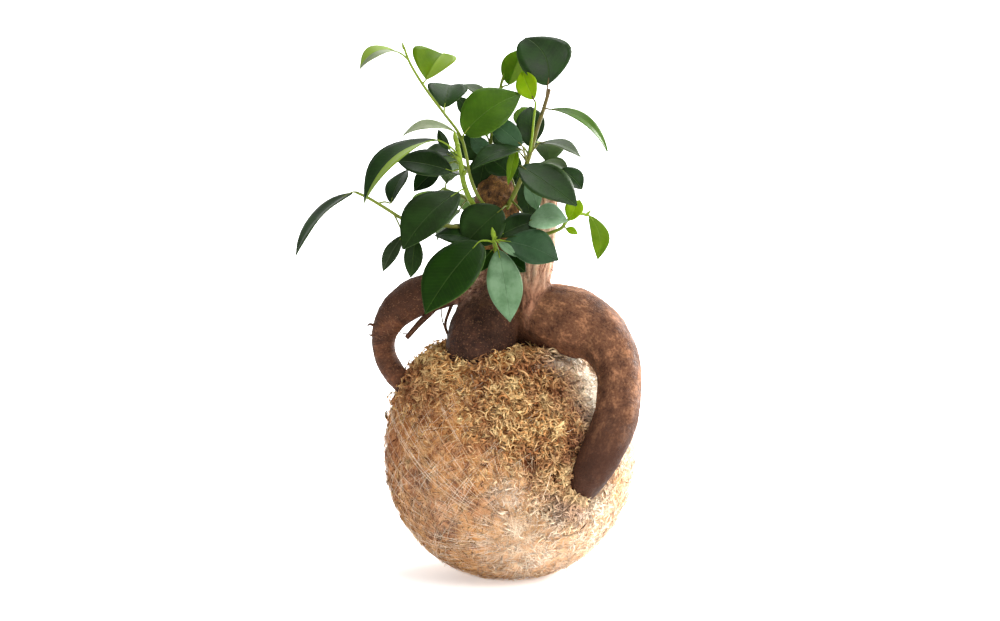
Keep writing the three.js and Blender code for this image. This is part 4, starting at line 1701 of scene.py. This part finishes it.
SHOOTS = {
    "shoot_upper_left": Shoot(
        (
            (-7, -3, 184), (-11, -11, 190), (-16, -14, 197), (-20, -16, 207), (-22, -17, 218),
            (-25, -18, 228), (-33, -18, 239), (-42, -18, 251), (-50, -18, 264), (-53, -18, 272),
        ),
        (1.0, 0.6), (0.5, 0.15),
        (
            Leaf(0.92, (-57, -20, 270), (-75, -26, 261), 11, (-0.5, -0.6, 0.6), PALE, 5, 12, second=1),
            Leaf(0.79, (-42, -17, 256), (-34, -7, 269), 26, (-0.3, -0.9, 0.3), FRESH, 2, 22, 0, 0.6, 1),
            Leaf(0.66, (-33, -14, 242), (-30, 3, 253), 22, (0, -0.6, 0.8), DARK, 2, 20),
            Leaf(0.52, (-28, -19, 230), (-54, -24, 228), 9, (0, -0.45, 0.9), PALE, 5),
            Leaf(0.54, (-23, -21, 229), (6, -14, 249), 25, (-0.3, -0.85, 0.35), MID, 3, 8, -1.5, 0.42),
        ),
        buds=(Bud((-53, -18, 271), (-54, -18, 275), 0.7),),
    ),
    "shoot_bud": Shoot(
        ((-11, -3, 187), (-18, -12, 192), (-23, -18, 203), (-25, -21, 216), (-27, -21, 226)),
        (1.5, 1.2), (0.15, 0.1),
        (
            Leaf(0.8, (-36, -26, 226), (-72, -46, 196), 21, (-0.6, -0.5, 0.6), DARK, 9, 12, second=-1),
            Leaf(0.72, (-30, -21, 221), (-36, -18, 231), 6, (-0.6, -0.8, 0.1), DARK, 1, 20),
            Leaf(0.66, (-29, -17, 210), (-57, -12, 215), 17, (0, -0.75, 0.65), DARK, 2, 8),
            Leaf(0.45, (-26, -25, 200), (-53, -43, 173), 27, (-0.35, -0.75, 0.55), DARK, 4, 8),
        ),
        buds=(
            Bud((-27, -21, 225), (-28, -21, 231), 1.3),
            Bud((-24, -20, 208), (-22, -22, 211), 1.1),
            Bud((-25, -21, 215), (-27, -23, 218), 1.2),
            Bud((-27, -21, 221), (-25, -22, 224), 1.2),
        ),
    ),
    "shoot_middle": Shoot(
        ((-7, 3, 196), (-9, 4, 206), (-10, 8, 219), (-8, 8, 235), (-4, 6, 255)),
        (1.5, 0.8), (0.8, 0.3),
        (
            Leaf(0.75, (-10, 10, 244), (-25, 14, 253), 9, (-0.2, -0.3, 0.95), GREY_SHEEN, 2, 8),
            Leaf(0.55, (-17, 5, 237), (-27, 1, 247), 9, (-0.5, -0.8, 0.2), DARK, 1),
            Leaf(0.66, (-11, 2, 239), (-12, -5, 227), 10, (-0.2, -0.95, 0.2), FRESH, 1, 12),
            Leaf(0.93, (-0.5, 5, 253), (7, 8, 271), 15, (-0.5, -0.85, 0.1), FRESH, 1, 18, second=1),
            Leaf(0.4, (-11, 1, 218), (-20, -7, 228), 9, (-0.4, -0.8, 0.4), TEAL),
            Leaf(0.4, (-6, 4, 219), (2, 3, 231), 14, (0.1, -0.9, 0.3)),
            Leaf(0.3, (-12, 4, 218), (-16, 0, 199), 14, (-0.1, -0.95, 0.2)),
            Leaf(0.34, (-3, 6, 220), (2, 2, 203), 13, (0.2, -0.95, 0.2), DEEP),
            Leaf(0.25, (-14, 8, 216), (-27, 6, 226), 14, (-0.2, -0.9, 0.3)),
            Leaf(0.25, (5, 3, 208), (11, 2, 184), 14, (0.1, -0.95, 0.2)),
        ),
        buds=(Bud((-4, 6, 254), (-3, 5, 259), 0.8),),
    ),
    "shoot_upper_right": Shoot(
        (
            (-4, -1, 186), (-1, -10, 192), (3, -13, 200), (7, -15, 209), (10, -15, 218), (14, -13, 232),
            (17, -12, 241), (20, -10, 251),
        ),
        (1.3, 1.0), (0.3, 1),
        (
            Leaf(0.92, (19, -12, 253), (8, -4, 277), 29, (0.2, -0.9, 0.35), DARK, 2, 6, 4.5, 0.52, 0, -0.1),
            Leaf(0.86, (20, -13, 241), (49, -20, 220), 9, (0.35, -0.5, 0.8), MID, 7),
            Leaf(0.5, (10, -8, 222), (11, 5, 242), 15, (0, -0.9, 0.4)),
            Leaf(0.52, (6, -19, 223), (-10, -16, 236), 12, (-0.2, -0.9, 0.3), TEAL),
            Leaf(0.56, (15, -15, 224), (36, -20, 217), 13, (0.2, -0.3, 0.9), GREY_SHEEN, 3),
            Leaf(0.5, (6, -22, 221), (-19, -34, 212), 14, (-0.2, -0.55, 0.8), DARK, 4),
            Leaf(0.42, (5, -21, 213), (33, -36, 194), 25, (0.3, -0.65, 0.65), DARK, 3, 8, sweep=2),
            Leaf(0.38, (26, -3, 210), (37, -5, 200), 12, (0.4, -0.8, 0.5)),
            Leaf(0.35, (9, -14, 206), (14, -15, 190), 9, (0.1, -0.95, 0.2), MIST, 1),
            Leaf(0.2, (9, -22, 185), (29, -30, 186), 17, (0, -0.72, 0.68), FROST_SHEEN, 3),
            Leaf(0.14, (-4, -18, 191), (-23, -23, 173), 26, (-0.25, -0.85, 0.4)),
            Leaf(0.5, (3, -18, 221), (-1, -17, 203), 6, (0, -0.95, 0.3), FRESH, 1, 20, widest=0.35),
            Leaf(0.3, (0, -8, 208), (-12, -2, 218), 13, (-0.3, -0.9, 0.3)),
        ),
        ((10, -15, 219), (11, -17, 226), (12, -17, 236), (13, -16, 244)),
        (Leaf(0.98, (12, -16, 246), (6, -11, 260), 12, (-0.3, -0.9, 0.1), YOUNG, 1, 18),),
    ),
    "shoot_far_left": Shoot(
        (
            (-8, -1, 180), (-16, -10, 181), (-25, -18, 182), (-35, -20, 183), (-51, -21, 185),
            (-63, -22, 192), (-71, -24, 197), (-77, -26, 200),
        ),
        (1.3, 0.7), (0.9, 0.3),
        (
            Leaf(0.99, (-79, -26, 200), (-107, -32, 169), 15, (-0.7, -0.35, 0.6), DARK, 5),
            Leaf(0.78, (-60, -17, 194), (-52, -3, 210), 13, (-0.6, -0.7, 0.3)),
            Leaf(0.66, (-54, -23, 178), (-64, -26, 160), 8, (-0.4, -0.9, 0), GREY_SHEEN, 2, 12),
            Leaf(0.52, (-48, -21, 177), (-50, -26, 157), 10, (0.2, -0.95, 0.2)),
        ),
    ),
    "shoot_front": Shoot(
        ((-6, -5, 161), (-6, -14, 164), (-7, -24, 171), (-8, -30, 176), (-8, -31, 179)),
        (1.4, 0.9), (0.7, 0),
        (
            Leaf(0.72, (-15, -33, 176), (-42, -52, 142), 29, (-0.35, -0.8, 0.45), DEEP, 3, 8, widest=0.46),
            Leaf(0.68, (-6, -35, 172), (0, -45, 137), 18, (0.1, -0.95, 0.3), MIST, 3, 8),
            Leaf(0.75, (-3, -31, 176), (24, -38, 167), 21, (0.1, -0.75, 0.6), TEAL, 3, 8, widest=0.55),
            Leaf(0.78, (-6, -36, 176), (3, -41, 169), 4.5, (0.2, -0.9, 0.4), MIST, 1, 12),
            Leaf(0.5, (-9, -25, 171), (-17, -29, 160), 10, (-0.3, -0.9, 0.3), DEEP, 1),
            Leaf(0.8, (-6, -28, 178), (17, -20, 186), 15, (0, -0.7, 0.7)),
            Leaf(0.7, (-14, -22, 175), (-38, -19, 178), 15, (0, -0.6, 0.8)),
            Leaf(0.35, (-4, -20, 167), (8, -26, 160), 12, (0.1, -0.8, 0.5), DEEP, 1),
        ),
        buds=(Bud((-8, -31, 178), (-9, -32, 183), 1.3),),
    ),
    "shoot_lower_right": Shoot(
        (
            (17, -3, 174), (16, -12, 177), (20, -20, 179), (26, -24, 182), (29, -25, 186), (36, -23, 189),
            (39, -23, 188),
        ),
        (1.1, 0.7), (1, 0),
        (
            Leaf(0.72, (30, -27, 186), (35, -22, 196), 10, (-0.3, -0.9, 0.2), YOUNG, 1, 14),
            Leaf(0.99, (40, -23, 188), (44, -27, 166), 10, (0.3, -0.9, 0.2), FRESH, 1, 12, sweep=-3),
            Leaf(0.55, (28, -26, 182), (34, -28, 179), 4, (0.2, -0.9, 0.3), YOUNG, 1, 12),
        ),
        buds=(Bud((38, -23, 188), (41, -23, 191), 0.8),),
        slot="young_leaf",
    ),
    "shoot_left_back": Shoot(
        ((-9, 2, 192), (-15, 5, 202), (-22, 4, 210), (-28, 2, 214)),
        (1.3, 0.8), (0.8, 0.3),
        (
            Leaf(0.97, (-36, 1, 210), (-49, -5, 199), 11, (-0.3, -0.9, 0.3)),
            Leaf(0.75, (-30, -1, 217), (-46, 4, 216), 12, (0, -0.5, 0.85), DARK, 3),
            Leaf(0.6, (-24, 11, 206), (-33, 28, 201), 15, (-0.2, 0.3, 0.95), DARK, 4),
        ),
    ),
    "shoot_back_left": Shoot(
        ((-8, 4, 182), (-14, 14, 188), (-22, 24, 193), (-30, 31, 196), (-35, 35, 198)),
        (1.5, 0.8), (0.8, 0.2),
        (
            Leaf(0.98, (-37, 38, 196), (-46, 56, 182), 18, (-0.4, 0.5, 0.7), MID, 5),
            Leaf(0.8, (-35, 25, 191), (-48, 14, 182), 14, (-0.6, 0.2, 0.8), DARK, 4),
            Leaf(0.7, (-22, 35, 193), (-18, 56, 180), 20, (0.1, 0.6, 0.8), DEEP, 4),
            Leaf(0.5, (-26, 18, 188), (-38, 16, 172), 14, (-0.7, 0.5, 0.5), DARK, 3),
            Leaf(0.97, (-33, 40, 203), (-26, 52, 216), 16, (-0.1, 0.8, 0.5), DARK, 2, 14),
        ),
    ),
    "shoot_back_right": Shoot(
        ((-4, 4, 188), (2, 15, 195), (7, 24, 206), (10, 29, 216), (12, 32, 226)),
        (1.5, 0.8), (0.8, 0.2),
        (
            Leaf(0.98, (11, 34, 228), (6, 28, 241), 15, (0.2, 0.9, 0.3), MID, 2, 12),
            Leaf(0.97, (15, 38, 222), (21, 55, 210), 20, (0.3, 0.4, 0.9), DARK, 5),
            Leaf(0.75, (6, 36, 221), (-6, 54, 222), 20, (-0.2, 0.4, 0.9), DEEP, 5),
            Leaf(0.6, (16, 24, 212), (32, 22, 204), 16, (0.5, 0.3, 0.8), DARK, 4),
            Leaf(0.5, (7, 32, 203), (12, 52, 192), 22, (0.2, 0.6, 0.8), DARK, 5),
            Leaf(0.35, (-4, 24, 200), (-14, 40, 204), 16, (-0.2, 0.5, 0.85), DARK, 4),
        ),
    ),
    "shoot_back_low": Shoot(
        ((-5, 4, 164), (-4, 16, 168), (0, 27, 173), (2, 35, 179)),
        (1.4, 0.8), (0.8, 0.2),
        (
            Leaf(0.98, (3, 40, 180), (6, 60, 172), 20, (0.1, 0.5, 0.85), DEEP, 5),
            Leaf(0.8, (7, 33, 174), (19, 42, 160), 16, (0.6, 0.5, 0.6), DARK, 4),
            Leaf(0.75, (-8, 32, 174), (-24, 42, 160), 20, (-0.5, 0.6, 0.6), DARK, 5),
            Leaf(0.5, (-4, 30, 165), (-6, 44, 148), 16, (0, 0.85, 0.5), DARK, 3),
        ),
    ),
}


class Midrib:
    """A leaf's arched midrib, with the blade's sideways and upward directions."""

    def __init__(self, leaf: Leaf) -> None:
        """Works out the midrib's directions from the leaf.

        Args:
            leaf: The leaf.
        """
        self.leaf = leaf
        self.start = place(leaf.base)
        self.chord = place(leaf.tip) - self.start
        self.side = self.chord.cross(Vector(leaf.faces)).normalized()
        self.up = self.side.cross(self.chord).normalized()

    def point(self, t: float) -> Vector:
        """The midrib's place from base, 0, to tip, 1.

        Args:
            t: How far along.

        Returns:
            The place.
        """
        bow = 4 * t * (1 - t) * MM
        bent = self.up * self.leaf.arch * bow + self.side * self.leaf.sweep * bow
        return self.start + self.chord * t + bent

    def lift(self, t: float) -> Vector:
        """The way the blade's upper face looks there."""
        tangent = self.chord + self.up * (4 * self.leaf.arch * MM * (1 - 2 * t))
        return self.side.cross(tangent).normalized()


@dataclass
class Foliage:
    """The leafy shoots: stems, stalks, blades and buds."""

    across: int = 8
    along: int = 16
    thickness: float = 0.4
    point_power: float = 0.64  # how full a blade's outline is: less is fuller
    least: float = 0.03  # its least width, as a share of the greatest
    cup: float = 1.25  # how late a raised half starts to rise
    wave: float = 0.35
    wave_turns: float = 9.0
    wave_width: float = 16.0  # how wide a blade is that waves in full
    curls: tuple = (-0.2, 0.5)  # how far its edge droops, least and most
    curl_width: float = 20.0
    palings: tuple = (0, 0.25)  # how pale it is, least and most
    stalk_radius: float = 0.45
    stalk_taper: tuple = (1.25, 0.6)  # at the stem and in the blade
    stalk_bow: float = 0.08  # as a share of its length
    stalk_end: float = 0.12  # how far up the blade it runs
    side_radii: tuple = (0.7, 0.6)
    side_reach: float = 1.1  # how near a second stem's line its green reaches
    bud_steps: int = 6
    bud_swell: tuple = (0.3, 0.08)  # where in a half wave it starts, and the least
    stem_steps: int = 5
    stalk_steps: int = 4
    sides: int = 8
    luck: random.Random = field(default_factory=lambda: random.Random(21))

    def half_width(self, leaf: Leaf, t: float) -> float:
        """Half the blade's width in metres, from base, 0, to tip, 1: round first and pointed last.

        Args:
            leaf: The leaf.
            t: How far along.

        Returns:
            The half width.
        """
        skew = math.log(0.5) / math.log(leaf.widest)
        swell = max(math.sin(math.pi * t**skew), 0.0) ** (self.point_power + leaf.point * t)
        return leaf.width / 2 * MM * max(swell, self.least)

    def add_blade(self, form: bmesh.types.BMesh, leaf: Leaf, slot: int) -> None:
        """Adds a blade to a shoot: a grid bent to the midrib, with an underside.

        Args:
            form: The shoot's mesh.
            leaf: The leaf.
            slot: The number of its material.
        """
        spot = form.verts.layers.float_vector["leaf_place"]
        look = form.verts.layers.float_vector["leaf_look"]
        grid = bmesh.ops.create_grid(form, x_segments=self.across, y_segments=self.along, size=1)["verts"]
        midrib = Midrib(leaf)
        bend = math.radians(leaf.fold)
        phase = self.luck.uniform(0, math.tau)
        droop = self.luck.uniform(*self.curls) * MM * leaf.width / self.curl_width
        tone = self.luck.uniform(*self.palings)
        wave = self.wave * MM * min(1, leaf.width / self.wave_width)
        for vert in grid:
            x, s = vert.co.x, (vert.co.y + 1) / 2
            t = 0.5 * s + 0.25 * (1 - math.cos(math.pi * s))
            half = self.half_width(leaf, t)
            ripple = wave * math.sin(phase + t * self.wave_turns + x) * x * x
            raised = abs(x) ** self.cup * half * math.sin(bend) + ripple - droop * x**4
            vert.co = midrib.point(t) + midrib.side * (x * half * math.cos(bend)) + midrib.lift(t) * raised
            vert[spot] = (x * half / MM, t * midrib.chord.length / MM, abs(x))
            vert[look] = (0, tone, leaf.second)
        faces = list({face for vert in grid for face in vert.link_faces})
        form.normal_update()
        grown = bmesh.ops.extrude_face_region(form, geom=faces)["geom"]
        below = [item for item in grown if isinstance(item, bmesh.types.BMVert)]
        for vert in below:
            t = vert[spot][1] * MM / midrib.chord.length
            vert.co -= midrib.lift(t) * self.thickness * MM
            vert[look] = (1, tone, leaf.second)
        whole = list({face for vert in [*grid, *below] if vert.is_valid for face in vert.link_faces})
        bmesh.ops.recalc_face_normals(form, faces=whole)
        for face in whole:
            face.material_index = slot
            face.smooth = True

    def stalk(self, leaf: Leaf, stem: Rod) -> Rod:
        """A leaf's stalk, from its place on the stem into the blade.

        Args:
            leaf: The leaf.
            stem: Its stem.

        Returns:
            The stalk.
        """
        start = stem.line[round(leaf.at * (len(stem.line) - 1))]
        midrib = Midrib(leaf)
        base = midrib.point(0)
        bow = start.lerp(base, 0.5) + Vector((0, 0, (base - start).length * self.stalk_bow))
        line = smooth_line([start, bow, base, midrib.point(self.stalk_end)], self.stalk_steps)
        foot, end = self.stalk_taper
        return Rod(line, [share * self.stalk_radius * MM for share in np.linspace(foot, end, len(line))])

    def bud(self, bud: Bud) -> Rod:
        """A bud: widest low down and pointed at its tip.

        Args:
            bud: Its size and place.

        Returns:
            The bud's rod.
        """
        steps = [step / self.bud_steps for step in range(self.bud_steps + 1)]
        line = [place(bud.base).lerp(place(bud.tip), step) for step in steps]
        start, least = self.bud_swell
        swell = [max(math.sin(math.pi * (start + (1 - start) * step)), least) for step in steps]
        return Rod(line, [share * bud.radius * MM for share in swell])

    def rods_of(self, shoot: Shoot) -> list[Rod]:
        """A shoot's stems, stalks and buds.

        Args:
            shoot: The shoot.

        Returns:
            The rods.
        """
        rods = []
        main = (shoot.stem, shoot.leaves, shoot.radii)
        side = (shoot.side_stem, shoot.side_leaves, self.side_radii)
        for points, leaves, (foot, end) in (main, side):
            if points:
                stem = Rod.through(points, np.linspace(foot, end, len(points)), self.stem_steps)
                rods += [stem, *(self.stalk(leaf, stem) for leaf in leaves)]
        return rods + [self.bud(bud) for bud in shoot.buds]

    def make_shoot(self, name: str, shoot: Shoot, palette: Palette) -> None:
        """A shoot as one piece, standing for its solid.

        Args:
            name: Its solid's name.
            shoot: The shoot.
            palette: The materials.
        """
        mesh = rod_mesh(name, self.rods_of(shoot), self.sides)
        foot, end = place(shoot.stem[0]), place(shoot.stem[-1])
        span = (end - foot).length
        side = [place(point) for point in shoot.side_stem]
        side_line = smooth_line(side, self.stem_steps + 1) if side else []
        leaves = (*shoot.leaves, *shoot.side_leaves)
        tones = list(dict.fromkeys(leaf.tone for leaf in leaves))
        with shaping(mesh) as form:
            age = form.verts.layers.float.new("stem_age")
            form.verts.layers.float_vector.new("leaf_place")
            form.verts.layers.float_vector.new("leaf_look")
            for vert in form.verts:
                share = min((vert.co - foot).length / span, 1)
                on_side = any((vert.co - point).length < self.side_reach * MM for point in side_line)
                vert[age] = 0.0 if on_side else shoot.age[0] + (shoot.age[1] - shoot.age[0]) * share
            for leaf in leaves:
                self.add_blade(form, leaf, tones.index(leaf.tone) + 1)
        mesh.materials.append(palette.stem)
        for tone in tones:
            mesh.materials.append(palette.leaves[tone])
        piece(f"{name}_foliage", mesh, shoot.slot, [name])

    def build(self, palette: Palette) -> None:
        """Makes every shoot."""
        for name, shoot in SHOOTS.items():
            self.make_shoot(name, shoot, palette)


@dataclass(frozen=True)
class Softbox:
    """A square softbox."""

    name: str  # its name
    at: tuple  # where it hangs, in metres
    to: tuple  # what it faces, in metres
    side: float  # its side, in metres
    power: float  # its power, in watts
    colour: tuple = (1, 1, 1)  # its colour

    def hang(self) -> None:
        """Puts the light in the scene."""
        light = bpy.data.lights.new(self.name, "AREA")
        light.size = self.side
        light.energy = self.power
        light.color = self.colour
        holder = add_object(self.name, light)
        holder.location = self.at
        holder.rotation_euler = (Vector(self.to) - Vector(self.at)).to_track_quat("-Z", "Y").to_euler()


PLANT_MIDDLE = (-0.005, 0, 0.137)
SOFTBOXES = (
    Softbox("key", (1.0, 0.8, 0.5), PLANT_MIDDLE, 0.6, 56, (1, 0.98, 0.95)),
    Softbox("front", (0.75, -0.95, 1.1), PLANT_MIDDLE, 0.7, 20.5, (1, 0.98, 0.96)),
    Softbox("top", (0.2, 0.4, 1.5), PLANT_MIDDLE, 1.0, 24),
    Softbox("wall", (0, 1.6, 1.6), (0, 3.2, 1.0), 2.0, 70),
)
WHITE = (1.0, 1.0, 1.0, 1.0)


@dataclass
class Studio:
    """The pale sweep that the plant stands on, the lights and the camera."""

    aim: tuple = (-5.0, 0.0, 137.2)  # in millimetres, and what follows in metres
    distance: float = 1.1
    elevation: float = 7.0
    lens: float = 76.74
    sensor: float = 36.0
    nearest: float = 0.05
    sweep_front: float = 3.0
    sweep_back: float = 2.0
    sweep_radius: float = 1.2
    sweep_steps: int = 10
    sweep_top: float = 4.0
    sweep_width: float = 5.0
    sweep_greys: tuple = (0.93, 0.96)
    sweep_roughness: float = 0.9
    sweep_glow: float = 0.45
    room_light: float = 0.42  # for all but the camera, which sees white past the sweep

    def sweep_line(self) -> list[Vector]:
        """The sweep's side view: a floor that curves up into a wall far behind.

        Returns:
            Its points.
        """
        line = [Vector((0, -self.sweep_front, 0)), Vector((0, self.sweep_back, 0))]
        for step in range(1, self.sweep_steps + 1):
            turn = math.radians(90 * step / self.sweep_steps)
            out, up = math.sin(turn) * self.sweep_radius, (1 - math.cos(turn)) * self.sweep_radius
            line.append(Vector((0, self.sweep_back + out, up)))
        return [*line, Vector((0, self.sweep_back + self.sweep_radius, self.sweep_top))]

    def make_sweep(self) -> None:
        """The sweep, in a finish that is nearly white."""
        mesh = bpy.data.meshes.new("sweep")
        with shaping(mesh) as form:
            left = Vector((-self.sweep_width, 0, 0))
            verts = [form.verts.new(point + left) for point in self.sweep_line()]
            edges = [form.edges.new(pair) for pair in zip(verts, verts[1:])]
            grown = bmesh.ops.extrude_edge_only(form, edges=edges)["geom"]
            moved = [item for item in grown if isinstance(item, bmesh.types.BMVert)]
            bmesh.ops.translate(form, vec=left * -2, verts=moved)
        mesh.shade_smooth()
        material, wiring, shader = new_material("sweep_white")
        low, high = ((grey, grey, grey, 1) for grey in self.sweep_greys)
        finish = {
            "Base Color": wiring.mix(wiring.noise(wiring.coordinates(), 2), low, high),
            "Roughness": self.sweep_roughness,
            "Emission Color": WHITE,
            "Emission Strength": self.sweep_glow,
        }
        wiring.feed(shader, finish)
        mesh.materials.append(material)
        add_object("sweep", mesh)

    def make_camera(self) -> None:
        """The camera, level with the roots and a little above."""
        lens = bpy.data.cameras.new("camera")
        lens.lens = self.lens
        lens.sensor_width = self.sensor
        lens.clip_start = self.nearest
        holder = add_object("camera", lens)
        tilt = math.radians(self.elevation)
        back = Vector((0, -math.cos(tilt), math.sin(tilt))) * self.distance
        holder.location = place(self.aim) + back
        holder.rotation_euler = (-back).to_track_quat("-Z", "Y").to_euler()
        bpy.context.scene.camera = holder

    def make_room(self) -> None:
        """The room's even light, which the camera sees as white."""
        world = bpy.data.worlds.new("studio")
        world.use_nodes = True
        wiring = Wiring(world.node_tree)
        seen = wiring.node("LightPath").outputs["Is Camera Ray"]
        room = wiring.mix(seen, (self.room_light, self.room_light, self.room_light, 1), WHITE)
        wiring.node("OutputWorld", {"Surface": wiring.node("Background", {"Color": room}).outputs[0]})
        bpy.context.scene.world = world
        bpy.context.scene.view_settings.view_transform = "Standard"

    def build(self) -> None:
        """Makes the stage, its light and the camera."""
        self.make_sweep()
        for softbox in SOFTBOXES:
            softbox.hang()
        self.make_room()
        self.make_camera()


def main() -> None:
    """Makes the plant and its studio."""
    logging.basicConfig(level=logging.INFO, format="%(message)s")
    palette = Palette()
    Studio().build()
    ball = MossBall()
    ball.build(palette)
    MossStrands(ball, palette).build()
    Winding(ball).build(palette)
    Wood().build(palette)
    Foliage().build(palette)
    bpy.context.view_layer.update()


if __name__ == "__main__":
    main()
